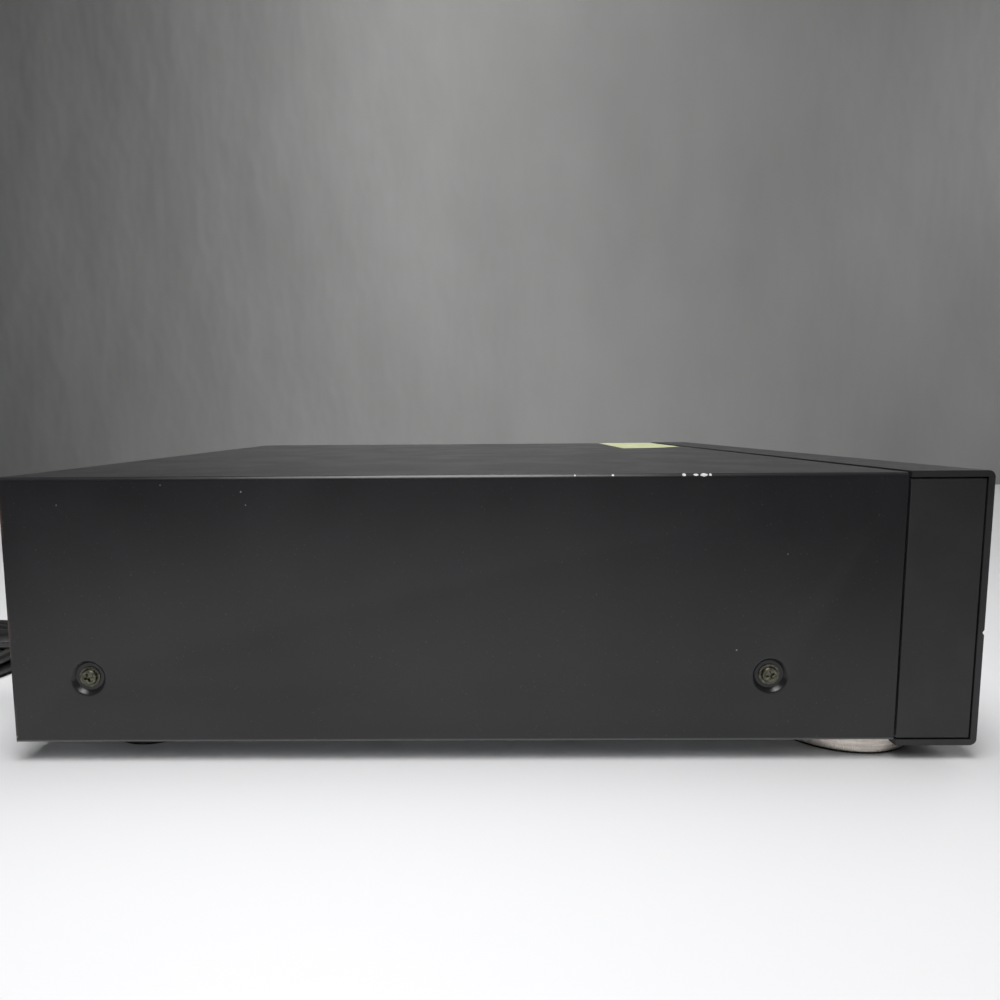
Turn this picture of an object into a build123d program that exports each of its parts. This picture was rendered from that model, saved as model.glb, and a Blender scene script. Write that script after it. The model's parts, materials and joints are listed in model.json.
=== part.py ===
"""A front-loading multi disc cd changer with a five-place carousel drawer, in millimetres.

The frame: the origin is on the table under the middle of the case, +Z is up,
the front panel faces -Y and +X is the right-hand side of somebody who faces it.
"""

from build123d import *
from math import acos, atan2, ceil, cos, degrees, pi, radians, sin, sqrt, tan
import os

os.makedirs("parts", exist_ok=True)

# ---------------------------------------------------------------- driving sizes
# Case
case_width = 435.0
case_depth = 434.0
case_height = 131.0
sheet = 1.0
cover_lift = 9.9
cover_below_panel_top = 0.6
cover_fold_radius = 2.0
seam_gap = 1.2
panel_depth = 36.0
panel_bottom_z = 7.0
panel_wall = 3.0
panel_corner_radius = 3.0
front_proud = 9.0
rear_proud = 9.0
rear_lip = 1.5
dimple_radius = 8.0
dimple_floor_radius = 6.3
dimple_depth = 2.0
dimple_rim_radius = 1.2
screw_height = 39.8
rear_screw_y = 182.5
front_screw_y = -123.6
screw_head_radius = 3.7
screw_head_height = 1.9
screw_head_rounding = 0.5
screw_head_taper = 15.0
screw_shank_radius = 1.9
washer_radius = 4.65
washer_thickness = 0.5
cross_long = 3.8
cross_slot = 1.1
cross_turn = 20.0
screw_length = 8.0
small_head_radius = 3.0
small_head_height = 1.4
small_screw_radius = 1.5
small_screw_length = 6.0
cross_half = 2.0
cross_width = 0.8

# Feet
front_foot_radius = 34.0
front_foot_inset = 39.2
front_foot_setback = 44.7
front_pad_radius = 33.0
front_pad_height = 1.1
rear_foot_radius = 19.0
rear_foot_inset = 36.3
rear_foot_setback = 49.0

# Front panel
end_wall = 3.0
end_cap_thickness = 2.2
end_groove = 0.7
end_rim = 2.8
notch_height = 59.0
notch_depth = 0.8
notch_half_width = 1.4
drawer_half_width = 177.0
drawer_low = 64.6
drawer_high = 117.4
drawer_gap = 0.5
door_thickness = 3.5
door_foot_width = 8.0
door_foot_depth = 10.0
window_inset = 143.5
window_low = 18.0
window_high = 52.0
window_thickness = 2.0
button_gap = 0.35
button_proud = 1.2
button_travel = 0.7
button_flange = 1.0
board_y = -196.0
board_thickness = 1.6
switch_height = 3.0
knob_radius = 7.5
knob_inset = 67.5
knob_z = 26.0
knob_shaft_radius = 3.0
knob_mark = 1.0
phones_inset = 29.5
phones_bore_radius = 3.25
phones_depth = 30.0
phones_body = 16.0
phones_end_wall = 3.0

# Drawer and carousel
carousel_y = -2.0
carousel_radius = 170.0
carousel_bottom = 86.0
carousel_thickness = 4.0
pocket_radius = 62.0
pocket_ring = 106.0
pocket_depth = 1.6
small_pocket_radius = 41.0
small_pocket_depth = 0.9
places = 5
slot_half_width = 21.0
slot_reach = 48.0
ring_module = 2.0
ring_teeth = 60
drive_teeth = 15
gear_height = 2.6
ring_backlash = 0.35
ring_width = 8.0
tray_bottom = 80.0
tray_floor = 2.5
tray_half_width = 172.0
tray_front = -175.0
tray_rear = 172.0
tray_wall_height = 13.0
tray_wall = 1.4
pickup_cut_width = 112.0
pickup_cut_reach = 40.0
arm_height = 14.0
runner_width = 4.0
runner_low = 81.0
runner_height = 3.0
rail_clearance = 0.4
rail_wall = 3.4
rail_lip = 2.0
rail_length = 340.0
rail_leg = 24.0
rail_foot = 2.0
post_radius = 6.0
bearing_gap = 0.05
arm_x = 105.0
arm_width = 12.0

# Loading drive
rack_module = 1.5
rack_x = 146.0
rack_height = 4.6
rack_backlash = 0.35
loading_teeth = 20
loading_y = -120.0
pulley_radius = 22.0
motor_pulley_radius = 5.0
belt_thickness = 1.2
belt_width = 3.0
belt_span = 60.0
belt_z = 71.0
bracket_z = 62.0
bracket_thickness = 2.5
bracket_margin = 18.0
bracket_reach = 26.0
bracket_leg = 6.0
gear_post_radius = 3.0
motor_nose_radius = 3.0
motor_shaft_radius = 1.0
pulley_lip = 1.6
loading_motor_radius = 12.0
loading_motor_length = 25.0

# Pickup
play_y = carousel_y + pocket_ring
lift_travel = 12.0
chassis_z = 52.0
chassis_thickness = 3.0
chassis_half_width = 50.0
chassis_front = 54.0
chassis_rear = 194.0
spindle_top = 72.0
turntable_radius = 15.0
spindle_boss_radius = 7.4
spindle_shaft_radius = 1.5
lens_start = 23.0
sled_travel = 35.0
sled_half_width = 25.0
sled_before_lens = 7.0
sled_behind_lens = 17.0
rod_radius = 1.5
lens_radius = 2.6
lens_ring_radius = 6.0
lens_ring_height = 2.5
rack_stand = 4.0
rod_x = 20.0
sled_module = 1.0
sled_teeth = 24
sled_backlash = 0.25
cam_slope = 2.0
pin_radius = 2.0
clamp_z = 104.0

# Mains cord
cord_diameter = 7.0
exit_x = -150.0
exit_z = 40.0
relief_length = 34.5
coil_x = -94.0
coil_y = 352.0
coil_radius = 61.5
coil_pitch = 7.6
coil_turns = 2
tie_thickness = 0.8
tie_width = 8.0
plug_neck = 12.0
blade_spacing = 12.7
blade_wide = 6.4
blade_thick = 1.5
blade_long = 17.0

# ---------------------------------------------------------------- worked out from them
half_width = case_width / 2
front_y = -case_depth / 2
rear_y = case_depth / 2
panel_rear = front_y + panel_depth
cover_front = panel_rear + seam_gap
cover_top = case_height - cover_below_panel_top
cover_inner = half_width - sheet
frame_half = cover_inner - dimple_depth - 0.2
floor_top = cover_lift + sheet
rear_face = rear_y - rear_lip
rear_inside = rear_face - sheet
bracket_front = cover_front - sheet
panel_back = front_y + panel_wall
panel_inner_half = half_width - end_cap_thickness - end_wall - 0.3
front_foot_x = half_width - front_foot_inset
front_foot_y = front_y + front_foot_setback
rear_foot_x = half_width - rear_foot_inset
rear_foot_y = rear_y - rear_foot_setback
window_half_width = half_width - window_inset
knob_x = knob_inset - half_width
phones_x = phones_inset - half_width
carousel_top = carousel_bottom + carousel_thickness
gear_bottom = carousel_bottom - gear_height
flank = radians(20)


# ---------------------------------------------------------------- helpers
def block(x, y, z, mode=Mode.ADD):
    """A box from its low and high place along each axis."""
    with Locations(((x[0] + x[1]) / 2, (y[0] + y[1]) / 2, (z[0] + z[1]) / 2)):
        Box(x[1] - x[0], y[1] - y[0], z[1] - z[0], mode=mode)


def post(x, y, z, radius, mode=Mode.ADD):
    """An upright cylinder from z[0] to z[1]."""
    with Locations((x, y, (z[0] + z[1]) / 2)):
        Cylinder(radius, z[1] - z[0], mode=mode)


def peg(x, z, y, radius, mode=Mode.ADD):
    """A cylinder that lies along Y from y[0] to y[1]."""
    with Locations(Location((x, (y[0] + y[1]) / 2, z), (90, 0, 0))):
        Cylinder(radius, y[1] - y[0], mode=mode)


def mirrored(value):
    """The same distance on the left and on the right."""
    return (-value, value)


def involute(angle):
    return tan(angle) - angle


def gear_outline(centre, teeth, module, backlash, turn):
    """Corner points of a spur gear, with the middle of a tooth at the angle turn."""
    pitch = module * teeth / 2
    base = pitch * cos(flank)
    tip = pitch + 0.9 * module
    root = pitch - 1.15 * module
    points = []
    for tooth in range(teeth):
        middle = turn + 2 * pi * tooth / teeth
        sides = []
        for radius in (root, max(base, root + 0.01), pitch, tip):
            opening = acos(min(1.0, base / max(radius, base)))
            half = pi / (2 * teeth) - backlash / (2 * pitch) + involute(flank) - involute(opening)
            sides.append((radius, half))
        for radius, half in sides:
            points.append((centre[0] + radius * cos(middle - half), centre[1] + radius * sin(middle - half)))
        for radius, half in reversed(sides):
            points.append((centre[0] + radius * cos(middle + half), centre[1] + radius * sin(middle + half)))
    return points


def rack_outline(module, first, last, centre, side, backlash, back):
    """Corner points of a rack along Y, with its pitch line at x = 0 and a tooth at centre."""
    pitch = pi * module
    tip = 0.9 * module
    root = 1.15 * module
    points = []
    for step in range(ceil((first - centre) / pitch), int((last - centre) // pitch) + 1):
        middle = centre + step * pitch
        half = pitch / 4 - backlash / 2
        wide = half + root * tan(flank)
        narrow = half - tip * tan(flank)
        points += [(-side * root, middle - wide), (side * tip, middle - narrow)]
        points += [(side * tip, middle + narrow), (-side * root, middle + wide)]
    points.append((-side * (root + back), points[-1][1]))
    points.append((-side * (root + back), points[0][1]))
    return points


# ---------------------------------------------------------------- top cover
side_screws = [(front_screw_y, screw_height), (rear_screw_y, screw_height)]

with BuildPart() as top_cover:
    with BuildSketch(Plane.XZ.offset(-cover_front)) as cover_outside:
        with Locations((0, (cover_lift + cover_top) / 2)):
            Rectangle(case_width, cover_top - cover_lift)
        fillet(cover_outside.vertices().group_by(Axis.Y)[-1], cover_fold_radius)
    extrude(amount=-(rear_y - cover_front))
    with BuildSketch(Plane.XZ.offset(-cover_front)) as cover_inside:
        with Locations((0, (cover_lift + cover_top - sheet) / 2)):
            Rectangle(2 * cover_inner, cover_top - sheet - cover_lift)
        fillet(cover_inside.vertices().group_by(Axis.Y)[-1], cover_fold_radius - sheet)
    extrude(amount=-(rear_y - cover_front), mode=Mode.SUBTRACT)
    for hand in mirrored(1):
        for screw_y, screw_z in side_screws:
            dish = Plane((hand * half_width, screw_y, screw_z), x_dir=(0, 1, 0), z_dir=(-hand, 0, 0))
            with BuildSketch(dish.offset(sheet)):
                Circle(dimple_radius + sheet)
            with BuildSketch(dish.offset(sheet + dimple_depth)):
                Circle(dimple_floor_radius + sheet)
            loft()
            with BuildSketch(dish):
                Circle(dimple_radius)
            with BuildSketch(dish.offset(dimple_depth)):
                Circle(dimple_floor_radius)
            loft(mode=Mode.SUBTRACT)
            with BuildSketch(dish.offset(dimple_depth)):
                Circle(screw_shank_radius + 0.3)
            extrude(amount=sheet, mode=Mode.SUBTRACT)
    circles = top_cover.edges().filter_by(GeomType.CIRCLE)
    fillet(circles.filter_by(lambda edge: abs(edge.radius - dimple_radius) < 0.001), dimple_rim_radius)
top_cover.part.label = "top_cover"
export_step(top_cover.part, "parts/top_cover.step")

# ---------------------------------------------------------------- chassis
flange_height = 52.0
slot_pitch = 9.0
vent_width = 3.0
vent_length = 30.0
vent_row = 40.0
board_post_radius = 3.5
transformer_x = 96.3 - frame_half
transformer_y = rear_inside - 64.5
main_board_x = (frame_half - 152.3, frame_half - 40.3)
main_board_y = (rear_inside - 156.5, rear_inside - 7.5)
main_board_z = 22.0
board_posts = [
    (post_x, post_y)
    for post_x in (main_board_x[0] + 6, main_board_x[1] - 6)
    for post_y in (main_board_y[0] + 6, main_board_y[1] - 11)
]

with BuildPart() as chassis_pan:
    block(mirrored(frame_half), (cover_front, rear_inside), (cover_lift, floor_top))
    for hand in mirrored(1):
        edge = sorted((hand * frame_half, hand * (frame_half - sheet)))
        block(edge, (cover_front, rear_inside), (floor_top, floor_top + flange_height))
        for screw_y, screw_z in side_screws:
            with Locations(Location((hand * frame_half, screw_y, screw_z), (0, 90, 0))):
                Cylinder(screw_shank_radius + 0.05, 4 * sheet, mode=Mode.SUBTRACT)
    with Locations((main_board_x[0] + 48, main_board_y[0] + 72, cover_lift)):
        with GridLocations(slot_pitch, vent_row, 9, 2):
            Box(vent_width, vent_length, 4 * sheet, mode=Mode.SUBTRACT)
    for post_x, post_y in board_posts:
        post(post_x, post_y, (floor_top, main_board_z), board_post_radius)
chassis_pan.part.label = "chassis_pan"
export_step(chassis_pan.part, "parts/chassis_pan.step")

bracket_top = cover_top - sheet - 2.4
opening_low = drawer_low - drawer_gap
opening_high = drawer_high + drawer_gap
opening_half = drawer_half_width + drawer_gap

with BuildPart() as front_bracket:
    block(mirrored(frame_half), (bracket_front, cover_front), (cover_lift, bracket_top))
    block(mirrored(opening_half), (bracket_front, cover_front), (opening_low, opening_high), Mode.SUBTRACT)
    block(mirrored(130), (bracket_front, cover_front), (20, 50), Mode.SUBTRACT)
    block(mirrored(frame_half), (cover_front, cover_front + 12), (bracket_top - sheet, bracket_top))
front_bracket.part.label = "front_bracket"
export_step(front_bracket.part, "parts/front_bracket.step")

jack_x = main_board_x[0] + 58
jack_z = 47.0
jack_pitch = 17.0
jack_row = 18.0
rca_radius = 4.15
rca_wall = 0.6
block_half_x = 34.0
block_half_z = 20.0
mini_bore_radius = 1.8
mini_depth = 13.0
bushing_radius = 6.0
rear_screw_places = [(-200, 122), (0, 122), (200, 122), (-60, 20), (75, 20), (200, 20)]

with BuildPart() as rear_panel:
    block(mirrored(frame_half), (rear_inside, rear_face), (cover_lift, cover_top - sheet - 0.3))
    peg(exit_x, exit_z, (rear_inside - 1, rear_face + 1), bushing_radius, Mode.SUBTRACT)
    hole_half_x = block_half_x - 3
    hole_half_z = block_half_z - 3
    block(
        (jack_x - hole_half_x, jack_x + hole_half_x),
        (rear_inside, rear_face),
        (jack_z - hole_half_z, jack_z + hole_half_z),
        Mode.SUBTRACT,
    )
    for screw_x, screw_z in rear_screw_places:
        hole_radius = small_screw_radius + bearing_gap
        peg(screw_x, screw_z, (rear_inside - 1, rear_face + 1), hole_radius, Mode.SUBTRACT)
    with Locations((-20, (rear_inside + rear_face) / 2, 90)):
        with GridLocations(10, 0, 14, 1):
            Box(4, 3 * sheet, 24, mode=Mode.SUBTRACT)
rear_panel.part.label = "rear_panel"
export_step(rear_panel.part, "parts/rear_panel.step")

with BuildPart() as rear_screws:
    for screw_x, screw_z in rear_screw_places:
        peg(screw_x, screw_z, (rear_face, rear_face + small_head_height), small_head_radius)
        peg(screw_x, screw_z, (rear_face - small_screw_length, rear_face), small_screw_radius)
        cross_y = (rear_face + small_head_height / 2, rear_face + small_head_height)
        for half_x, half_z in ((cross_half, cross_width / 2), (cross_width / 2, cross_half)):
            block(
                (screw_x - half_x, screw_x + half_x),
                cross_y,
                (screw_z - half_z, screw_z + half_z),
                Mode.SUBTRACT,
            )
rear_screws.part.label = "rear_screws"
export_step(rear_screws.part, "parts/rear_screws.step")

screw_seats = [
    Plane((hand * (half_width - dimple_depth), screw_y, screw_z), x_dir=(0, 1, 0), z_dir=(hand, 0, 0))
    for hand in mirrored(1)
    for screw_y, screw_z in side_screws
]
head_rise = screw_head_height - washer_thickness
head_top_radius = screw_head_radius - head_rise * tan(radians(screw_head_taper))

with BuildPart() as cover_screws:
    for seat in screw_seats:
        with BuildSketch(seat):
            Circle(washer_radius)
        extrude(amount=washer_thickness)
        with BuildSketch(seat.offset(washer_thickness)):
            Circle(screw_head_radius)
        extrude(amount=head_rise, taper=screw_head_taper)
        with BuildSketch(seat):
            Circle(screw_shank_radius)
        extrude(amount=-screw_length)
    circles = cover_screws.edges().filter_by(GeomType.CIRCLE)
    head_rims = circles.filter_by(lambda edge: abs(edge.radius - head_top_radius) < 0.001)
    fillet(head_rims, screw_head_rounding)
    for seat in screw_seats:
        with BuildSketch(seat.offset(screw_head_height)):
            Rectangle(cross_long, cross_slot, rotation=cross_turn)
            Rectangle(cross_slot, cross_long, rotation=cross_turn)
        extrude(amount=-cross_slot, mode=Mode.SUBTRACT)
cover_screws.part.label = "cover_screws"
export_step(cover_screws.part, "parts/cover_screws.step")

# ---------------------------------------------------------------- feet
with BuildPart() as front_foot_shells:
    for hand in mirrored(1):
        with BuildSketch(Plane.XY.offset(front_pad_height)):
            with Locations((hand * front_foot_x, front_foot_y)):
                Circle(front_foot_radius)
        extrude(amount=cover_lift - front_pad_height)
        with BuildSketch(Plane.XY.offset(front_pad_height)):
            with Locations((hand * front_foot_x, front_foot_y)):
                Circle(front_pad_radius - 8)
        extrude(amount=5, mode=Mode.SUBTRACT)
    rims = front_foot_shells.edges().filter_by(GeomType.CIRCLE).group_by(SortBy.RADIUS)[-1]
    chamfer(rims.group_by(Axis.Z)[0], 0.6)
front_foot_shells.part.label = "front_foot_shells"
export_step(front_foot_shells.part, "parts/front_foot_shells.step")

with BuildPart() as front_foot_pads:
    for hand in mirrored(1):
        post(hand * front_foot_x, front_foot_y, (0, front_pad_height), front_pad_radius)
        post(hand * front_foot_x, front_foot_y, (0, front_pad_height), front_pad_radius - 9, Mode.SUBTRACT)
front_foot_pads.part.label = "front_foot_pads"
export_step(front_foot_pads.part, "parts/front_foot_pads.step")

with BuildPart() as rear_feet:
    for hand in mirrored(1):
        post(hand * rear_foot_x, rear_foot_y, (0, cover_lift), rear_foot_radius)
        post(hand * rear_foot_x, rear_foot_y, (0, cover_lift - 3), 6, Mode.SUBTRACT)
    rims = rear_feet.edges().filter_by(GeomType.CIRCLE).group_by(SortBy.RADIUS)[-1]
    fillet(rims.group_by(Axis.Z)[0], 1.2)
rear_feet.part.label = "rear_feet"
export_step(rear_feet.part, "parts/rear_feet.step")

# ---------------------------------------------------------------- front panel and what it carries
# Each button: its middle, measured from the nearer end of the panel, and its size.
buttons = {
    "power_button": (20.5 - half_width, 98, 22, 13),
    "open_close_button": (half_width - 20.5, 104, 22, 11),
    "disc_skip_button": (half_width - 20.5, 84, 22, 11),
    "disc_1_button": (half_width - 121.5, 44, 17, 9),
    "disc_2_button": (half_width - 99.5, 44, 17, 9),
    "disc_3_button": (half_width - 77.5, 44, 17, 9),
    "disc_4_button": (half_width - 55.5, 44, 17, 9),
    "disc_5_button": (half_width - 33.5, 44, 17, 9),
    "skip_back_button": (half_width - 119.5, 24, 20, 12),
    "skip_forward_button": (half_width - 94.5, 24, 20, 12),
    "stop_button": (half_width - 67.5, 24, 24, 12),
    "play_pause_button": (half_width - 33.5, 24, 34, 12),
}
bottom_wall_depth = 10.0
end_outer = half_width - end_cap_thickness - 0.3

with BuildPart() as front_panel:
    with BuildSketch(Plane.YZ.offset(-half_width)) as panel_side:
        with Locations(((front_y + panel_rear) / 2, (panel_bottom_z + case_height) / 2)):
            Rectangle(panel_depth, case_height - panel_bottom_z)
        fillet(panel_side.vertices().group_by(Axis.X)[0], panel_corner_radius)
    extrude(amount=case_width)
    block(
        mirrored(panel_inner_half),
        (panel_back, panel_rear),
        (panel_bottom_z + panel_wall, case_height - panel_wall),
        Mode.SUBTRACT,
    )
    block(
        mirrored(panel_inner_half),
        (front_y + bottom_wall_depth, panel_rear),
        (panel_bottom_z, panel_bottom_z + panel_wall),
        Mode.SUBTRACT,
    )
    for hand in mirrored(1):
        recess = sorted((hand * end_outer, hand * half_width))
        block(
            recess,
            (front_y + end_rim, panel_rear),
            (panel_bottom_z + end_rim, case_height - end_rim),
            Mode.SUBTRACT,
        )
    with BuildSketch(Plane.YZ.offset(-half_width)):
        with BuildLine():
            Polyline(
                (front_y - 0.1, notch_height - notch_half_width),
                (front_y + notch_depth, notch_height),
                (front_y - 0.1, notch_height + notch_half_width),
                close=True,
            )
        make_face()
    extrude(amount=case_width, mode=Mode.SUBTRACT)
    block(mirrored(opening_half), (front_y, panel_back), (opening_low, opening_high), Mode.SUBTRACT)
    block(mirrored(window_half_width), (front_y, panel_back), (window_low, window_high), Mode.SUBTRACT)
    for place_x, place_z, wide, high in buttons.values():
        with BuildSketch(Plane.XZ.offset(-front_y)):
            with Locations((place_x, place_z)):
                RectangleRounded(wide + 2 * button_gap, high + 2 * button_gap, 2.2 + button_gap)
        extrude(amount=-panel_wall, mode=Mode.SUBTRACT)
    peg(knob_x, knob_z, (front_y - 1, panel_back + 1), knob_shaft_radius + 0.5, Mode.SUBTRACT)
    peg(phones_x, knob_z, (front_y - 1, panel_back + 1), 6.0, Mode.SUBTRACT)
    board_stays = [(-206, 34), (206, 60), (-84, 36), (84, 34)]
    for stay_x, stay_z in board_stays:
        peg(stay_x, stay_z, (panel_back, board_y), 2.5)
front_panel.part.label = "front_panel"
export_step(front_panel.part, "parts/front_panel.step")

with BuildPart() as end_caps:
    for hand in mirrored(1):
        with BuildSketch(Plane.YZ.offset(hand * end_outer)):
            with BuildLine():
                cap_front = front_y + end_rim + end_groove
                cap_low = panel_bottom_z + end_rim + end_groove
                cap_high = case_height - end_rim - end_groove
                Polyline(
                    (cap_front, cap_low),
                    (panel_rear, cap_low),
                    (panel_rear, cap_high),
                    (cap_front, cap_high),
                    close=True,
                )
            make_face()
        extrude(amount=hand * (half_width - end_outer - 0.1))
end_caps.part.label = "end_caps"
export_step(end_caps.part, "parts/end_caps.step")

with BuildPart() as display_window:
    block(
        mirrored(window_half_width - 0.3),
        (front_y + 0.4, panel_back),
        (window_low + 0.3, window_high - 0.3),
    )
    block(
        mirrored(window_half_width + 4),
        (panel_back, panel_back + window_thickness),
        (window_low - 4, window_high + 4),
    )
display_window.part.label = "display_window"
export_step(display_window.part, "parts/display_window.step")

with BuildPart() as front_board:
    block(mirrored(209), (board_y, board_y + board_thickness), (12, 58))
    for hand in mirrored(1):
        column = sorted((hand * 183, hand * 209))
        block(column, (board_y, board_y + board_thickness), (58, 112))
    for place_x, place_z, wide, high in buttons.values():
        block((place_x - 3, place_x + 3), (board_y - switch_height, board_y), (place_z - 3, place_z + 3))
    block((knob_x - 8, knob_x + 8), (board_y - 8, board_y), (knob_z - 8, knob_z + 8))
    peg(knob_x, knob_z, (board_y - 9, board_y), knob_shaft_radius + 0.05, Mode.SUBTRACT)
    phones_hole = phones_body / 2 + button_gap
    block(
        (phones_x - phones_hole, phones_x + phones_hole),
        (board_y, board_y + board_thickness),
        (knob_z - phones_hole, knob_z + phones_hole),
        Mode.SUBTRACT,
    )
front_board.part.label = "front_board"
export_step(front_board.part, "parts/front_board.step")

module_front = panel_back + window_thickness + 0.4
with BuildPart() as display_module:
    block(mirrored(62), (module_front, module_front + 6), (23, 47))
    block(mirrored(64), (module_front + 6, board_y), (21, 49))
display_module.part.label = "display_module"
export_step(display_module.part, "parts/display_module.step")


def make_button(place_x, place_z, wide, high):
    """A key cap in its hole, with the flange that holds it in and the stem on its switch."""
    with BuildPart() as key:
        with BuildSketch(Plane.XZ.offset(-(front_y - button_proud))):
            with Locations((place_x, place_z)):
                RectangleRounded(wide, high, 2.2)
        extrude(amount=-(button_proud + panel_wall + 0.3))
        fillet(key.faces().sort_by(Axis.Y)[0].edges(), 0.5)
        flange_y = panel_back + 0.3
        block(
            (place_x - wide / 2 - 1, place_x + wide / 2 + 1),
            (flange_y, flange_y + button_flange),
            (place_z - high / 2 - 1, place_z + high / 2 + 1),
        )
        peg(place_x, place_z, (flange_y, board_y - switch_height - button_travel - 0.1), 1.6)
    return key.part


for button_name, (place_x, place_z, wide, high) in buttons.items():
    button = make_button(place_x, place_z, wide, high)
    button.label = button_name
    export_step(button, f"parts/{button_name}.step")

with BuildPart() as phones_jack:
    nut_front = front_y - 1.5
    peg(phones_x, knob_z, (nut_front, front_y), 7.5)
    peg(phones_x, knob_z, (front_y, panel_back), 5.9)
    block(
        (phones_x - phones_body / 2, phones_x + phones_body / 2),
        (panel_back, nut_front + phones_depth + phones_end_wall),
        (knob_z - phones_body / 2, knob_z + phones_body / 2),
    )
    peg(phones_x, knob_z, (nut_front - 1, nut_front + phones_depth), phones_bore_radius, Mode.SUBTRACT)
phones_jack.part.label = "phones_jack"
export_step(phones_jack.part, "parts/phones_jack.step")

with BuildPart() as level_knob:
    knob_front = front_y - front_proud
    peg(knob_x, knob_z, (knob_front, front_y - 0.4), knob_radius)
    peg(knob_x, knob_z, (front_y - 0.4, board_y - 1), knob_shaft_radius)
    chamfer(level_knob.faces().sort_by(Axis.Y)[0].edges(), 0.8)
    block(
        (knob_x - knob_mark / 2, knob_x + knob_mark / 2),
        (knob_front, knob_front + 0.6),
        (knob_z + 1.5, knob_z + 7),
        Mode.SUBTRACT,
    )
level_knob.part.label = "level_knob"
export_step(level_knob.part, "parts/level_knob.step")

# ---------------------------------------------------------------- electronics and sockets
board_top = main_board_z + board_thickness
# Chips, a heat sink and connectors: from the board's left and front edge, then wide, deep and high.
board_parts = [(10, 32, 28, 28, 3), (46, 14, 18, 18, 3), (70, 24, 40, 6, 22.4)]
board_parts += [(6 + 17 * place, 98, 8, 6, 8) for place in range(6)]
capacitor_radius = 8.0
capacitor_height = 28.4
capacitor_places = [(60, 54), (82, 54), (60, 76), (82, 76)]

with BuildPart() as main_board:
    block(main_board_x, main_board_y, (main_board_z, board_top))
    for from_left, from_front, wide, deep, high in board_parts:
        left = main_board_x[0] + from_left
        front = main_board_y[0] + from_front
        block((left, left + wide), (front, front + deep), (board_top, board_top + high))
main_board.part.label = "main_board"
export_step(main_board.part, "parts/main_board.step")

with BuildPart() as filter_capacitors:
    for from_left, from_front in capacitor_places:
        post(
            main_board_x[0] + from_left,
            main_board_y[0] + from_front,
            (board_top, board_top + capacitor_height),
            capacitor_radius,
        )
filter_capacitors.part.label = "filter_capacitors"
export_step(filter_capacitors.part, "parts/filter_capacitors.step")

core_wide = 66.0
core_deep = 32.0
core_high = 46.0
with BuildPart() as power_transformer:
    low = floor_top
    block((transformer_x - core_wide / 2, transformer_x + core_wide / 2),
          (transformer_y - core_deep / 2, transformer_y + core_deep / 2), (low + 1.5, low + core_high))
    block((transformer_x - core_wide / 2 - 11, transformer_x + core_wide / 2 + 11),
          (transformer_y - 12, transformer_y + 12), (low, low + 1.5))
    for hand in mirrored(1):
        with BuildSketch(Plane.XZ.offset(-(transformer_y + hand * core_deep / 2))):
            with Locations((transformer_x, low + core_high / 2 + 1)):
                RectangleRounded(42, core_high - 16, 4)
        extrude(amount=-hand * 12)
        post(transformer_x + hand * (core_wide / 2 + 6), transformer_y, (low, low + 1.5), 2.2, Mode.SUBTRACT)
power_transformer.part.label = "power_transformer"
export_step(power_transformer.part, "parts/power_transformer.step")

# Jack places: x, z from the middle of the jack field.
rca_x = jack_x + 12
mini_x = jack_x - 20
mini_rise = 8.0
rca_places = [
    (rca_x + hand * jack_pitch / 2, jack_z + row * jack_row / 2)
    for hand in mirrored(1)
    for row in mirrored(1)
]
mini_places = [(mini_x, jack_z + row * mini_rise) for row in mirrored(1)]
body_depth = 14.0
flange_margin = 4.0
block_front = rear_face + 1.2
body_rear = rear_face - body_depth
cell_gap = 0.2
insulator_front = rear_y + rear_proud - 1.0
foot_depth = 5.0
rca_bore_radius = 1.65
rca_bore_depth = 13.0
mini_nose_radius = 4.0
mini_nose = 1.5
# Each jack is a cell of its own, bounded by these places along X.
cell_edges = [jack_x - block_half_x, rca_x - jack_pitch, rca_x, jack_x + block_half_x]

with BuildPart() as jack_block:
    for row in mirrored(1):
        flange_z = sorted((jack_z + row * cell_gap / 2, jack_z + row * block_half_z))
        body_z = sorted((jack_z + row * cell_gap / 2, jack_z + row * (block_half_z - flange_margin)))
        for left, right in zip(cell_edges, cell_edges[1:]):
            flange_x = (left + cell_gap / 2, right - cell_gap / 2)
            body_x = (
                max(flange_x[0], jack_x - block_half_x + flange_margin),
                min(flange_x[1], jack_x + block_half_x - flange_margin),
            )
            block(flange_x, (rear_face, block_front), flange_z)
            block(body_x, (body_rear, rear_face), body_z)
            if row < 0:
                block(body_x, (body_rear, body_rear + foot_depth), (board_top, body_z[0]))
    for place_x, place_z in rca_places:
        peg(place_x, place_z, (block_front, insulator_front), rca_radius - rca_wall - 0.05)
        bore_y = (insulator_front - rca_bore_depth, insulator_front)
        peg(place_x, place_z, bore_y, rca_bore_radius, Mode.SUBTRACT)
    for place_x, place_z in mini_places:
        nose_front = block_front + mini_nose
        peg(place_x, place_z, (block_front, nose_front), mini_nose_radius)
        peg(place_x, place_z, (nose_front - mini_depth, nose_front), mini_bore_radius, Mode.SUBTRACT)
jack_block.part.label = "jack_block"
export_step(jack_block.part, "parts/jack_block.step")

shell_front = rear_y + rear_proud
shell_flange = 0.8
shell_flange_width = 1.2
with BuildPart() as line_out_shells:
    for place_x, place_z in rca_places:
        peg(place_x, place_z, (block_front, shell_front), rca_radius)
        peg(place_x, place_z, (block_front, block_front + shell_flange), rca_radius + shell_flange_width)
        peg(place_x, place_z, (block_front - 1, shell_front + 1), rca_radius - rca_wall, Mode.SUBTRACT)
line_out_shells.part.label = "line_out_shells"
export_step(line_out_shells.part, "parts/line_out_shells.step")

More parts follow.
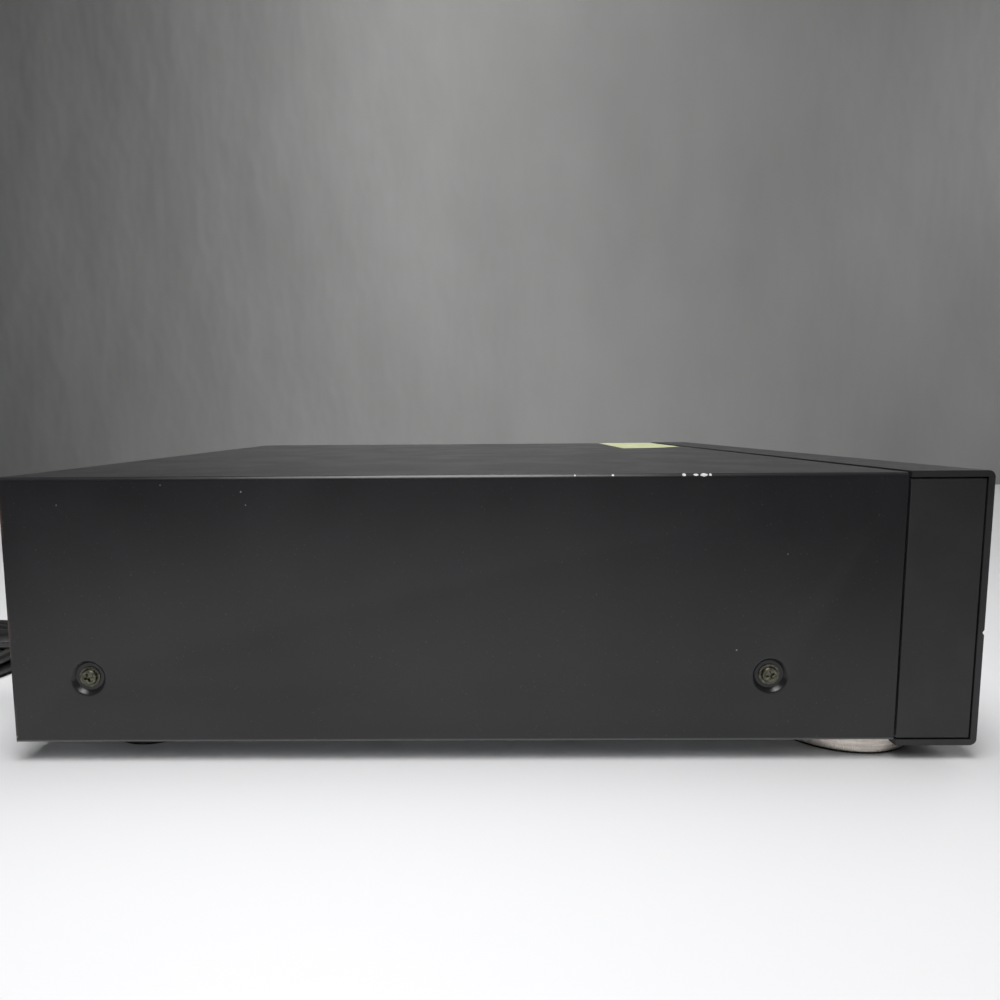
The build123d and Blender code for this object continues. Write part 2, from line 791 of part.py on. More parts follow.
# ---------------------------------------------------------------- drawer
ring_pitch_radius = ring_module * ring_teeth / 2
drive_pitch_radius = ring_module * drive_teeth / 2
drive_y = carousel_y - ring_pitch_radius - drive_pitch_radius
tray_top = tray_bottom + tray_floor
rack_back = 2.5
motor_hole_radius = 2.0
hub_radius = 14.0
cap_screw_radius = 1.6
cap_rise = 1.0
cap_thickness = 2.0

with BuildPart() as disc_tray:
    with BuildSketch(Plane.XY.offset(tray_bottom)):
        with Locations((0, (tray_front + tray_rear) / 2)):
            Rectangle(2 * tray_half_width, tray_rear - tray_front)
        with Locations((0, (play_y - pickup_cut_reach + tray_rear + 1) / 2)):
            Rectangle(pickup_cut_width, tray_rear + 1 - (play_y - pickup_cut_reach), mode=Mode.SUBTRACT)
        with Locations((0, drive_y)):
            Circle(motor_hole_radius, mode=Mode.SUBTRACT)
    extrude(amount=tray_floor)
    for hand in mirrored(1):
        wall = sorted((hand * tray_half_width, hand * (tray_half_width - tray_wall)))
        block(wall, (tray_front, tray_rear), (tray_bottom, tray_bottom + tray_wall_height))
        runner = sorted((hand * tray_half_width, hand * (tray_half_width + runner_width)))
        block(runner, (tray_front + 2, tray_rear), (runner_low, runner_low + runner_height))
        arm = (hand * arm_x - arm_width / 2, hand * arm_x + arm_width / 2)
        block(arm, (front_y + door_thickness, tray_front), (tray_bottom, tray_bottom + arm_height))
    front_wall = (tray_front, tray_front + tray_wall)
    block(mirrored(tray_half_width), front_wall, (tray_bottom, tray_bottom + tray_wall_height))
    post(0, carousel_y, (tray_top, carousel_top + cap_rise), post_radius)
    post(0, carousel_y, (tray_top, gear_bottom - 0.3), hub_radius)
    post(0, carousel_y, (carousel_top - 7, carousel_top + 2), cap_screw_radius, Mode.SUBTRACT)
    with BuildSketch(Plane.XY.offset(tray_bottom - rack_height)):
        with BuildLine():
            Polyline(
                [(rack_x + x, y) for x, y in rack_outline(
                    rack_module, tray_front + 3, tray_rear - 3, loading_y, -1, rack_backlash, rack_back)],
                close=True,
            )
        make_face()
    extrude(amount=rack_height)
disc_tray.part.label = "disc_tray"
export_step(disc_tray.part, "parts/disc_tray.step")

with BuildPart() as tray_door:
    with BuildSketch(Plane.XZ.offset(-front_y)):
        with Locations((0, (drawer_low + drawer_high) / 2)):
            RectangleRounded(2 * drawer_half_width, drawer_high - drawer_low, 1.5)
    extrude(amount=-door_thickness)
    fillet(tray_door.faces().sort_by(Axis.Y)[0].edges(), 0.6)
    for hand in mirrored(1):
        foot = sorted((hand * (arm_x + arm_width / 2), hand * (arm_x + arm_width / 2 + door_foot_width)))
        foot_y = (front_y + door_thickness, front_y + door_thickness + door_foot_depth)
        block(foot, foot_y, (tray_bottom, tray_bottom + arm_height))
tray_door.part.label = "tray_door"
export_step(tray_door.part, "parts/tray_door.step")

with BuildPart() as carousel:
    with BuildSketch(Plane.XY.offset(carousel_bottom)):
        with Locations((0, carousel_y)):
            Circle(carousel_radius)
    extrude(amount=carousel_thickness)
    with BuildSketch(Plane.XY.offset(gear_bottom)):
        with BuildLine():
            ring = gear_outline((0, carousel_y), ring_teeth, ring_module, ring_backlash, -pi / 2)
            Polyline(ring, close=True)
        make_face()
        with Locations((0, carousel_y)):
            Circle(ring_pitch_radius - ring_width, mode=Mode.SUBTRACT)
    extrude(amount=gear_height)
    with Locations((0, carousel_y, carousel_top - pocket_depth / 2)):
        with PolarLocations(pocket_ring, places, start_angle=90):
            Cylinder(pocket_radius, pocket_depth, mode=Mode.SUBTRACT)
    with Locations((0, carousel_y, carousel_top - pocket_depth - small_pocket_depth / 2)):
        with PolarLocations(pocket_ring, places, start_angle=90):
            Cylinder(small_pocket_radius, small_pocket_depth, mode=Mode.SUBTRACT)
    with BuildSketch(Plane.XY.offset(carousel_bottom)):
        with Locations((0, carousel_y)):
            with PolarLocations(pocket_ring + (slot_reach - slot_half_width) / 2, places, start_angle=90):
                SlotOverall(slot_reach + slot_half_width, 2 * slot_half_width)
    extrude(amount=carousel_thickness, mode=Mode.SUBTRACT)
    post(0, carousel_y, (gear_bottom, carousel_bottom), 16)
    post(0, carousel_y, (gear_bottom - 1, carousel_top + 1), post_radius + bearing_gap, Mode.SUBTRACT)
    fillet(
        carousel.edges().filter_by(GeomType.CIRCLE).group_by(SortBy.RADIUS)[-1].group_by(Axis.Z)[-1], 0.8
    )
carousel.part.label = "carousel"
export_step(carousel.part, "parts/carousel.step")

with BuildPart() as carousel_cap:
    post(0, carousel_y, (carousel_top + cap_rise, carousel_top + cap_rise + cap_thickness), hub_radius)
    post(0, carousel_y, (carousel_top - 5, carousel_top + cap_rise), cap_screw_radius - bearing_gap)
    fillet(carousel_cap.faces().sort_by(Axis.Z)[-1].edges(), 0.8)
carousel_cap.part.label = "carousel_cap"
export_step(carousel_cap.part, "parts/carousel_cap.step")

with BuildPart() as carousel_drive_gear:
    with BuildSketch(Plane.XY.offset(tray_top + 0.3)):
        with BuildLine():
            facing = pi / 2 + pi / drive_teeth
            Polyline(gear_outline((0, drive_y), drive_teeth, ring_module, ring_backlash, facing), close=True)
        make_face()
    extrude(amount=carousel_bottom - 0.4 - tray_top - 0.3)
    post(0, drive_y, (tray_top - 4, tray_top + 1), 1.9)
    post(0, drive_y, (tray_top - 4, tray_top + 6), 1.0, Mode.SUBTRACT)
carousel_drive_gear.part.label = "carousel_drive_gear"
export_step(carousel_drive_gear.part, "parts/carousel_drive_gear.step")

with BuildPart() as carousel_motor:
    post(0, drive_y, (tray_bottom - 14, tray_bottom - 2), 12)
    post(0, drive_y, (tray_bottom - 2, tray_bottom), 6)
    post(0, drive_y, (tray_bottom - 2, tray_bottom), 2.0, Mode.SUBTRACT)
    post(0, drive_y, (tray_bottom - 4, tray_top + 2), 0.95)
    for hand in mirrored(1):
        post(hand * 9, drive_y, (tray_bottom - 2, tray_bottom), 1.5)
carousel_motor.part.label = "carousel_motor"
export_step(carousel_motor.part, "parts/carousel_motor.step")

rail_inner = tray_half_width + 0.6
rail_slot = tray_half_width + runner_width + rail_clearance
rail_outer = rail_slot + rail_wall
rail_low = runner_low - rail_clearance - rail_lip
rail_high = runner_low + runner_height + rail_clearance + rail_lip
rail_front = cover_front + 1
with BuildPart() as tray_rails:
    for hand in mirrored(1):
        rail_y = (rail_front, rail_front + rail_length)
        block(sorted((hand * rail_inner, hand * rail_outer)), rail_y, (rail_low, rail_high))
        block(
            sorted((hand * rail_inner, hand * rail_slot)),
            rail_y,
            (rail_low + rail_lip, rail_high - rail_lip),
            Mode.SUBTRACT,
        )
        for leg_y in (rail_front + 10, rail_front + rail_length - 10 - rail_leg):
            foot_x = sorted((hand * rail_slot, hand * (rail_outer + 10)))
            leg_x = sorted((hand * rail_slot, hand * rail_outer))
            block(leg_x, (leg_y, leg_y + rail_leg), (floor_top, rail_low))
            block(foot_x, (leg_y, leg_y + rail_leg), (floor_top, floor_top + rail_foot))
tray_rails.part.label = "tray_rails"
export_step(tray_rails.part, "parts/tray_rails.step")

# ---------------------------------------------------------------- loading drive
loading_radius = rack_module * loading_teeth / 2
loading_x = rack_x - loading_radius
motor_x = loading_x - belt_span
bracket_top_z = bracket_z + bracket_thickness
gear_low = tray_bottom - rack_height + 0.1

with BuildPart() as loader_bracket:
    bracket_x = (motor_x - bracket_margin, loading_x + bracket_margin)
    bracket_y = (loading_y - bracket_reach, loading_y + bracket_reach)
    block(bracket_x, bracket_y, (bracket_z, bracket_top_z))
    for leg_x in (bracket_x[0], bracket_x[1] - bracket_leg):
        for leg_y in (bracket_y[0], bracket_y[1] - bracket_leg):
            block((leg_x, leg_x + bracket_leg), (leg_y, leg_y + bracket_leg), (floor_top, bracket_z))
    post(loading_x, loading_y, (bracket_top_z, gear_low + 3.5), gear_post_radius)
    post(motor_x, loading_y, (bracket_z, bracket_top_z), motor_nose_radius + 0.2, Mode.SUBTRACT)
loader_bracket.part.label = "loader_bracket"
export_step(loader_bracket.part, "parts/loader_bracket.step")

with BuildPart() as loading_motor:
    post(motor_x, loading_y, (bracket_z - loading_motor_length, bracket_z), loading_motor_radius)
    post(motor_x, loading_y, (bracket_z, bracket_top_z), motor_nose_radius)
    post(motor_x, loading_y, (bracket_top_z, belt_z + belt_width / 2 + 1), motor_shaft_radius)
    post(motor_x, loading_y, (bracket_z - loading_motor_length - 2, bracket_z - loading_motor_length), 4)
loading_motor.part.label = "loading_motor"
export_step(loading_motor.part, "parts/loading_motor.step")

pulley_low = belt_z - belt_width / 2 - 1.5
pulley_high = belt_z + belt_width / 2 + 1.5
with BuildPart() as motor_pulley:
    post(motor_x, loading_y, (pulley_low, pulley_high), motor_pulley_radius)
    post(motor_x, loading_y, (pulley_low, pulley_low + 1), motor_pulley_radius + pulley_lip)
    post(motor_x, loading_y, (pulley_high - 1, pulley_high), motor_pulley_radius + pulley_lip)
    shaft_hole_z = (pulley_low - 1, pulley_high + 1)
    post(motor_x, loading_y, shaft_hole_z, motor_shaft_radius + bearing_gap, Mode.SUBTRACT)
motor_pulley.part.label = "motor_pulley"
export_step(motor_pulley.part, "parts/motor_pulley.step")

with BuildPart() as loading_gear:
    with BuildSketch(Plane.XY.offset(gear_low)):
        with BuildLine():
            middle = (loading_x, loading_y)
            facing = pi / loading_teeth
            Polyline(gear_outline(middle, loading_teeth, rack_module, rack_backlash, facing), close=True)
        make_face()
    extrude(amount=tray_bottom - 0.4 - gear_low)
    post(loading_x, loading_y, (pulley_low, pulley_high), pulley_radius)
    post(loading_x, loading_y, (pulley_high, gear_low), loading_radius - 3)
    post(loading_x, loading_y, (pulley_low, pulley_low + 1), pulley_radius + pulley_lip)
    post(loading_x, loading_y, (pulley_high - 1, pulley_high), pulley_radius + pulley_lip)
    post(loading_x, loading_y, (pulley_low - 1, tray_bottom), gear_post_radius + bearing_gap, Mode.SUBTRACT)
loading_gear.part.label = "loading_gear"
export_step(loading_gear.part, "parts/loading_gear.step")


belt_clearance = 0.3
with BuildPart() as loading_belt:
    with BuildSketch(Plane.XY.offset(belt_z - belt_width / 2)):
        for grow, belt_mode in ((belt_clearance + belt_thickness, Mode.ADD), (belt_clearance, Mode.SUBTRACT)):
            large = pulley_radius + grow
            small = motor_pulley_radius + grow
            lean = acos((large - small) / belt_span)
            with BuildLine():
                big = [(loading_x - large * cos(a), loading_y + large * sin(a)) for a in (lean, pi, -lean)]
                little = [(motor_x - small * cos(a), loading_y + small * sin(a)) for a in (-lean, 0, lean)]
                ThreePointArc(*big)
                Line(big[-1], little[0])
                ThreePointArc(*little)
                Line(little[-1], big[0])
            make_face(mode=belt_mode)
    extrude(amount=belt_width)
loading_belt.part.label = "loading_belt"
export_step(loading_belt.part, "parts/loading_belt.step")

# ---------------------------------------------------------------- pickup
frame_z = 38.0
frame_plate = 3.0
frame_ledge = 6.0
frame_leg = 8.0
wall_top = 74.0
guide_top = 70.0
frame_half_width = chassis_half_width + 8
frame_front = chassis_front - 14
frame_rear = chassis_rear + 6
guide_clearance = 0.3
pin_x = 30.0
pin_z = chassis_z + chassis_thickness / 2
guide_wall = (chassis_front - 7, chassis_front - 4)
cam_plate = (chassis_front - 10.5, chassis_front - 7.3)
cam_travel = cam_slope * lift_travel

with BuildPart() as pickup_frame:
    block(mirrored(frame_half_width), (frame_front, frame_rear), (frame_z, frame_z + frame_plate))
    block(
        mirrored(chassis_half_width - frame_ledge),
        (chassis_front + frame_ledge, chassis_rear - frame_ledge),
        (frame_z, frame_z + frame_plate),
        Mode.SUBTRACT,
    )
    block(mirrored(frame_half_width), guide_wall, (frame_z, wall_top))
    for hand in mirrored(1):
        block(
            (hand * pin_x - pin_radius - 0.25, hand * pin_x + pin_radius + 0.25),
            (guide_wall[0] - 1, guide_wall[1] + 1),
            (pin_z - pin_radius - 0.5, pin_z + lift_travel + pin_radius + 0.5),
            Mode.SUBTRACT,
        )
        leg_x = sorted((hand * frame_half_width, hand * (frame_half_width - frame_leg)))
        for leg_y in (frame_front, frame_rear - frame_leg):
            block(leg_x, (leg_y, leg_y + frame_leg), (floor_top, frame_z))
        for guide_y in (chassis_front + 30, chassis_rear - 30):
            column = sorted((hand * (chassis_half_width + guide_clearance), hand * frame_half_width))
            block(column, (guide_y - 4, guide_y + 4), (frame_z + frame_plate, guide_top))
        shelf_y = (cam_plate[0] - 2.5, cam_plate[0] - 0.3)
        block(sorted((hand * 20, hand * 50)), shelf_y, (frame_z + frame_plate, 45))
    runway_z = (frame_z + frame_plate, frame_z + frame_plate + 0.8)
    block(mirrored(frame_half_width), (frame_front, guide_wall[0]), runway_z)
pickup_frame.part.label = "pickup_frame"
export_step(pickup_frame.part, "parts/pickup_frame.step")

spindle_y = play_y
sled_y = play_y + lens_start
well_front = spindle_y + 14
well_rear = sled_y + sled_travel + sled_behind_lens + 1
rod_z = chassis_z + chassis_thickness + 4.5
rod_front = spindle_y + 6
rod_rear = chassis_rear - 4
sled_gear_x = sled_half_width + rack_stand + sled_module * sled_teeth / 2
sled_gear_y = play_y + 44
chassis_top = chassis_z + chassis_thickness

with BuildPart() as pickup_chassis:
    block(mirrored(chassis_half_width), (chassis_front, chassis_rear), (chassis_z, chassis_top))
    block(mirrored(17), (well_front, well_rear), (chassis_z, chassis_top), Mode.SUBTRACT)
    post(0, spindle_y, (chassis_z, chassis_top), 6.2, Mode.SUBTRACT)
    for hand in mirrored(1):
        peg(hand * pin_x, pin_z, (cam_plate[0] + 0.2, chassis_front), pin_radius - 0.5)
        for holder_y in ((rod_front, rod_front + 4), (rod_rear - 4, rod_rear)):
            block((hand * rod_x - 3.5, hand * rod_x + 3.5), holder_y, (chassis_top, rod_z + 3))
        peg(hand * rod_x, rod_z, (rod_front, rod_rear), rod_radius, Mode.SUBTRACT)
    post(sled_gear_x, sled_gear_y, (chassis_top, chassis_top + 7), 2.0)
pickup_chassis.part.label = "pickup_chassis"
export_step(pickup_chassis.part, "parts/pickup_chassis.step")

with BuildPart() as guide_rods:
    for hand in mirrored(1):
        peg(hand * rod_x, rod_z, (rod_front, rod_rear), rod_radius)
guide_rods.part.label = "guide_rods"
export_step(guide_rods.part, "parts/guide_rods.step")

with BuildPart() as spindle_motor:
    post(0, spindle_y, (chassis_z - 8, chassis_z), 12)
    post(0, spindle_y, (chassis_z, chassis_top + 1), 6.2)
    post(0, spindle_y, (chassis_z - 4, chassis_top + 2), spindle_shaft_radius + bearing_gap, Mode.SUBTRACT)
spindle_motor.part.label = "spindle_motor"
export_step(spindle_motor.part, "parts/spindle_motor.step")

table_z = spindle_top - 7
with BuildPart() as disc_spindle:
    with BuildSketch(Plane.XZ.offset(-spindle_y)):
        with BuildLine():
            Polyline(
                (0, chassis_z - 3.5),
                (spindle_shaft_radius, chassis_z - 3.5),
                (spindle_shaft_radius, table_z - 3),
                (turntable_radius - 3, table_z - 2),
                (turntable_radius, table_z - 1.5),
                (turntable_radius, table_z),
                (spindle_boss_radius, table_z),
                (spindle_boss_radius, table_z + 2),
                (spindle_boss_radius - 3, spindle_top),
                (0, spindle_top),
                close=True,
            )
        make_face()
    revolve(axis=Axis((0, spindle_y, 0), (0, 0, 1)))
disc_spindle.part.label = "disc_spindle"
export_step(disc_spindle.part, "parts/disc_spindle.step")

sled_low = chassis_top + 0.6
sled_top = rod_z + 4
with BuildPart() as optical_pickup:
    sled_body_y = (sled_y - sled_before_lens, sled_y + sled_behind_lens)
    block(mirrored(sled_half_width), sled_body_y, (sled_low, sled_top))
    block(mirrored(15), (sled_y - sled_before_lens, sled_y + 9), (chassis_z - 4, sled_low))
    post(0, sled_y, (sled_top, sled_top + lens_ring_height), lens_ring_radius)
    post(0, sled_y, (sled_top + 1.5, sled_top + lens_ring_height), lens_ring_radius - 2, Mode.SUBTRACT)
    with Locations((0, sled_y, sled_top + 1.5)):
        with Locations((0, 0, -1.0)):
            Sphere(lens_radius)
    for hand in mirrored(1):
        peg(hand * rod_x, rod_z, (rod_front, rod_rear), rod_radius + bearing_gap, Mode.SUBTRACT)
    with BuildSketch(Plane.XY.offset(chassis_top + 2)):
        with BuildLine():
            Polyline(
                [(sled_half_width + rack_stand + x, y) for x, y in rack_outline(
                    sled_module, play_y + 5, play_y + 49, sled_gear_y, 1, sled_backlash, 2.85)],
                close=True,
            )
        make_face()
    extrude(amount=3)
optical_pickup.part.label = "optical_pickup"
export_step(optical_pickup.part, "parts/optical_pickup.step")

with BuildPart() as sled_gear:
    with BuildSketch(Plane.XY.offset(chassis_top + 1.5)):
        with BuildLine():
            middle = (sled_gear_x, sled_gear_y)
            facing = pi + pi / sled_teeth
            Polyline(gear_outline(middle, sled_teeth, sled_module, sled_backlash, facing), close=True)
        make_face()
    extrude(amount=4)
    post(sled_gear_x, sled_gear_y, (chassis_top + 0.3, chassis_top + 1.5), 6)
    post(sled_gear_x, sled_gear_y, (chassis_top, chassis_top + 8), 2.0 + bearing_gap, Mode.SUBTRACT)
sled_gear.part.label = "sled_gear"
export_step(sled_gear.part, "parts/sled_gear.step")

cam_low = frame_z + frame_plate + 1.1
cam_high = pin_z + lift_travel + 5
cam_slot_length = sqrt(cam_travel**2 + lift_travel**2) + 0.6
cam_slot_angle = 180 - degrees(atan2(lift_travel, cam_travel))
with BuildPart() as lift_cam:
    block((-pin_x - cam_travel - 8, pin_x + 10), cam_plate, (cam_low, cam_high))
    for hand in mirrored(1):
        with BuildSketch(Plane.XZ.offset(-cam_plate[0])):
            with Locations((hand * pin_x - cam_travel / 2, pin_z + lift_travel / 2)):
                SlotCenterToCenter(cam_slot_length, 2 * (pin_radius - 0.5 + 0.3), rotation=cam_slot_angle)
        extrude(amount=-(cam_plate[1] - cam_plate[0]), mode=Mode.SUBTRACT)
lift_cam.part.label = "lift_cam"
export_step(lift_cam.part, "parts/lift_cam.step")

bridge_half_depth = 17.0
bridge_thickness = 1.5
puck_neck_radius = 12.0
puck_face_radius = 14.0
puck_cap_radius = 15.5
bridge_y = (play_y - bridge_half_depth, play_y + bridge_half_depth)
with BuildPart() as clamp_bridge:
    block(mirrored(rail_outer), bridge_y, (clamp_z, clamp_z + bridge_thickness))
    for hand in mirrored(1):
        block(sorted((hand * rail_outer, hand * (rail_outer - 2))), bridge_y, (rail_high, clamp_z))
    post(0, play_y, (clamp_z - 1, clamp_z + 3), puck_neck_radius + 0.6, Mode.SUBTRACT)
clamp_bridge.part.label = "clamp_bridge"
export_step(clamp_bridge.part, "parts/clamp_bridge.step")

with BuildPart() as clamp_puck:
    post(0, play_y, (clamp_z + 1.8, clamp_z + 4), puck_cap_radius)
    post(0, play_y, (clamp_z - 2, clamp_z + 1.8), puck_neck_radius)
    post(0, play_y, (clamp_z - 5, clamp_z - 2), puck_face_radius)
    post(0, play_y, (clamp_z - 6, clamp_z - 1), spindle_boss_radius + 0.4, Mode.SUBTRACT)
clamp_puck.part.label = "clamp_puck"
export_step(clamp_puck.part, "parts/clamp_puck.step")

# ---------------------------------------------------------------- mains cord
cord_radius = cord_diameter / 2
cord_z = tie_thickness + 0.1 + cord_radius
upper_z = cord_z + coil_pitch
relief_end = rear_face + relief_length

with BuildPart() as cord_bushing:
    with BuildSketch(Plane.XY.offset(exit_z)):
        with BuildLine():
            Polyline(
                (exit_x, rear_inside - 8),
                (exit_x + bushing_radius, rear_inside - 8),
                (exit_x + bushing_radius, rear_face),
                (exit_x + bushing_radius + 2.5, rear_face),
                (exit_x + bushing_radius + 2.5, rear_face + 2.5),
                (exit_x + bushing_radius - 0.5, rear_face + 3.5),
                (exit_x + cord_radius + 0.8, relief_end),
                (exit_x, relief_end),
                close=True,
            )
        make_face()
    revolve(axis=Axis((exit_x, 0, exit_z), (0, 1, 0)))
cord_bushing.part.label = "cord_bushing"
export_step(cord_bushing.part, "parts/cord_bushing.step")

# The free stretch: chosen points, in millimetres, from the bushing to the coil's first turn.
coil_start = (coil_x - coil_radius, coil_y)
route = [
    (exit_x, relief_end, exit_z),
    (exit_x, relief_end + 18, exit_z),
    (exit_x - 1, relief_end + 36, exit_z - 7),
    (exit_x - 3, relief_end + 54, exit_z - 19.5),
    (coil_start[0] + 0.3, relief_end + 72, cord_z + 4.1),
    (coil_start[0], coil_start[1] - 16, cord_z),
    (coil_start[0], coil_start[1], cord_z),
]


def corner_radii(points):
    """The largest arcs that the runs beside each corner allow."""
    radii = []
    for before, here, after in zip(points, points[1:], points[2:]):
        arriving = Vector(*here) - Vector(*before)
        leaving = Vector(*after) - Vector(*here)
        turn = radians(arriving.get_angle(leaving))
        radii.append(0.45 * min(arriving.length, leaving.length) / tan(turn / 2))
    return radii


radii = corner_radii(route)
print("cord radii", [round(radius, 1) for radius in radii])
with BuildPart() as mains_cord:
    with BuildLine() as cord_path:
        FilletPolyline(*route, radius=radii)
    with BuildSketch(Plane(route[0], z_dir=Vector(*route[1]) - Vector(*route[0]))):
        Circle(cord_radius)
    sweep()
mains_cord.part.label = "mains_cord"
export_step(mains_cord.part, "parts/mains_cord.step")
cord_length = sum(edge.length for edge in cord_path.edges())
print("cord volume", mains_cord.part.volume, "section times length", pi * cord_radius**2 * cord_length)

# The coil spirals in on the table, climbs in one half turn and spirals out again on top.
inward = [coil_radius - step * coil_pitch / 2 for step in range(2 * coil_turns)]
half_turns = [(radius, cord_z, cord_z) for radius in inward]
half_turns.append((coil_radius - coil_turns * coil_pitch, cord_z, upper_z))
half_turns += [(radius, upper_z, upper_z) for radius in reversed(inward)]
plug_high = 13.0
plug_wide = 20.0
plug_length = 34.0
plug_z = plug_high / 2 + 0.1
tail_drop = [(0, upper_z), (15, upper_z), (33, plug_z + 2.4), (50, plug_z), (64, plug_z)]

with BuildPart() as mains_cord_coil:
    with BuildLine() as coil_path:
        here = coil_start[0]
        side = 1
        for radius, low, high in half_turns:
            there = here + side * 2 * radius
            middle = ((here + there) / 2, coil_y + side * radius, (low + high) / 2)
            ThreePointArc((here, coil_y, low), middle, (there, coil_y, high))
            here = there
            side = -side
        tail = [(here, coil_y + side * along, height) for along, height in tail_drop]
        FilletPolyline(*tail, radius=corner_radii(tail))
        coil_end = tail[-1]
    with BuildSketch(Plane((coil_start[0], coil_y, cord_z), z_dir=(0, 1, 0))):
        Circle(cord_radius)
    sweep()
mains_cord_coil.part.label = "mains_cord_coil"
export_step(mains_cord_coil.part, "parts/mains_cord_coil.step")
samples = []
walked = 0.0
for edge in coil_path.edges():
    steps = max(4, int(edge.length // 4))
    for step in range(steps):
        samples.append((walked + edge.length * step / steps, edge @ (step / steps)))
    walked += edge.length
least_gap = min(
    (first - second).length
    for place, (far, first) in enumerate(samples)
    for near, second in samples[place + 1:]
    if near - far > 60
) - cord_diameter
print("coil length", round(walked, 1), "least gap", round(least_gap, 2))

bundle_low = coil_y - coil_radius + coil_pitch / 2 - cord_radius - 0.4
bundle_high = coil_y - coil_radius + 3 * coil_pitch / 2 + cord_radius + 1.3
with BuildPart() as cord_tie:
    tie_x = (coil_x - tie_width / 2, coil_x + tie_width / 2)
    tie_low = 0.05
    tie_high = upper_z + cord_radius + 0.1 + tie_thickness
    block(tie_x, (bundle_low - tie_thickness, bundle_high + tie_thickness), (tie_low, tie_high))
    inside_z = (tie_low + tie_thickness, tie_high - tie_thickness)
    block(tie_x, (bundle_low, bundle_high), inside_z, Mode.SUBTRACT)
cord_tie.part.label = "cord_tie"
export_step(cord_tie.part, "parts/cord_tie.step")

plug_seat = (coil_end[0], coil_end[1] + side * plug_neck, coil_end[2])
with BuildPart() as mains_plug:
    with BuildSketch(Plane(coil_end, x_dir=(1, 0, 0), z_dir=(0, side, 0))):
        Circle(cord_radius + 0.8)
    with BuildSketch(Plane(plug_seat, x_dir=(1, 0, 0), z_dir=(0, side, 0))):
        RectangleRounded(plug_wide, plug_high, 5)
    loft()
    with BuildSketch(Plane(plug_seat, x_dir=(1, 0, 0), z_dir=(0, side, 0))):
        RectangleRounded(plug_wide, plug_high, 5)
    extrude(amount=plug_length - plug_neck)
    for hand in mirrored(1):
        blade_x = coil_end[0] + hand * blade_spacing / 2
        blade_y = sorted((coil_end[1] + side * plug_length, coil_end[1] + side * (plug_length + blade_long)))
        block(
            (blade_x - blade_thick / 2, blade_x + blade_thick / 2),
            blade_y,
            (coil_end[2] - blade_wide / 2, coil_end[2] + blade_wide / 2),
        )
mains_plug.part.label = "mains_plug"
export_step(mains_plug.part, "parts/mains_plug.step")
print("whole cord", round(cord_length + walked, 1))
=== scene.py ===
# %% [markdown]
# # Dressing a multi disc cd changer
#
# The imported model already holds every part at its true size. This lesson gives
# the parts their finish: satin black paint on folded steel, moulded plastic,
# a champagne foot, zinc screws, a coiled mains cord, and the light to see them in.
# Every length is in metres, and +Z is up. The front panel faces -Y.

# %% Load the frame
import json
from math import cos, pi, radians, sin

import bmesh
import bpy
from mathutils import Matrix, Vector


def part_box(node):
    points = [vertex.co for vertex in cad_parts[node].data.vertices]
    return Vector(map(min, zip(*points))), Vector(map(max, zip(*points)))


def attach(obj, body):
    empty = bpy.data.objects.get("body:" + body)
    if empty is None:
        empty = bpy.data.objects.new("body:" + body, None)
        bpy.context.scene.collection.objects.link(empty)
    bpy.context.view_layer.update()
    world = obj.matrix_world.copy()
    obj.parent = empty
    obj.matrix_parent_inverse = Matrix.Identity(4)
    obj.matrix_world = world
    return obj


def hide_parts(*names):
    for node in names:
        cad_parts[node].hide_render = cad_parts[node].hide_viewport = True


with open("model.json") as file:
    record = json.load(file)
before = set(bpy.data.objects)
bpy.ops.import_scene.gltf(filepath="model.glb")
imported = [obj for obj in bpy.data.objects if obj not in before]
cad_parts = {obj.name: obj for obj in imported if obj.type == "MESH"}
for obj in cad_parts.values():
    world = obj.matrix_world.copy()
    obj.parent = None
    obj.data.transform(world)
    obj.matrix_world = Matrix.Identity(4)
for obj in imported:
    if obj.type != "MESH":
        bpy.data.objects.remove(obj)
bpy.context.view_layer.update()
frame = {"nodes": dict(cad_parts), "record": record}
MM = 0.001
record = frame["record"]
slot_of = {row["node"]: row["material_slot"] for row in record["subparts"]}
body_of = {node: body for body, nodes in record["behaviour"]["bodies"].items() for node in nodes}

# %% [markdown]
# ## The camera
#
# The photograph looks straight at the left side, from close to the middle of the
# case and a little above its top. A fit of the case's edges gave the place, the
# tilt and the focal length. The picture was cropped a little to one side, so the
# camera has a small shift.

# %% Camera
CAMERA_PLACE = Vector((-530.3, 13.0, 153.3)) * MM
CAMERA_PITCH = 0.10794
CAMERA_YAW = -0.00921
CAMERA_ROLL = -0.00688
FOCAL_SHARE = 0.7213
CAMERA_SHIFT = 0.0431


def camera_axes(pitch, yaw, roll):
    """Right, up and back for a camera that looks along +X before it is turned."""
    forward = cos(yaw) * Vector((1, 0, 0)) + sin(yaw) * Vector((0, -1, 0))
    right = cos(yaw) * Vector((0, -1, 0)) - sin(yaw) * Vector((1, 0, 0))
    up = Vector((0, 0, 1))
    tilted = cos(pitch) * forward - sin(pitch) * up
    up = cos(pitch) * up + sin(pitch) * forward
    return cos(roll) * right + sin(roll) * up, cos(roll) * up - sin(roll) * right, -tilted


camera = bpy.data.objects.new("camera", bpy.data.cameras.new("camera"))
bpy.context.scene.collection.objects.link(camera)
right, up, back = camera_axes(CAMERA_PITCH, CAMERA_YAW, CAMERA_ROLL)
camera.matrix_world = Matrix.Translation(CAMERA_PLACE) @ Matrix((right, up, back)).transposed().to_4x4()
camera.data.sensor_width = 36.0
camera.data.lens = FOCAL_SHARE * camera.data.sensor_width
camera.data.shift_x = CAMERA_SHIFT
camera.data.clip_start = 0.01
camera.data.dof.use_dof = False
bpy.context.scene.camera = camera
print("camera looks along", [round(-value, 3) for value in back])

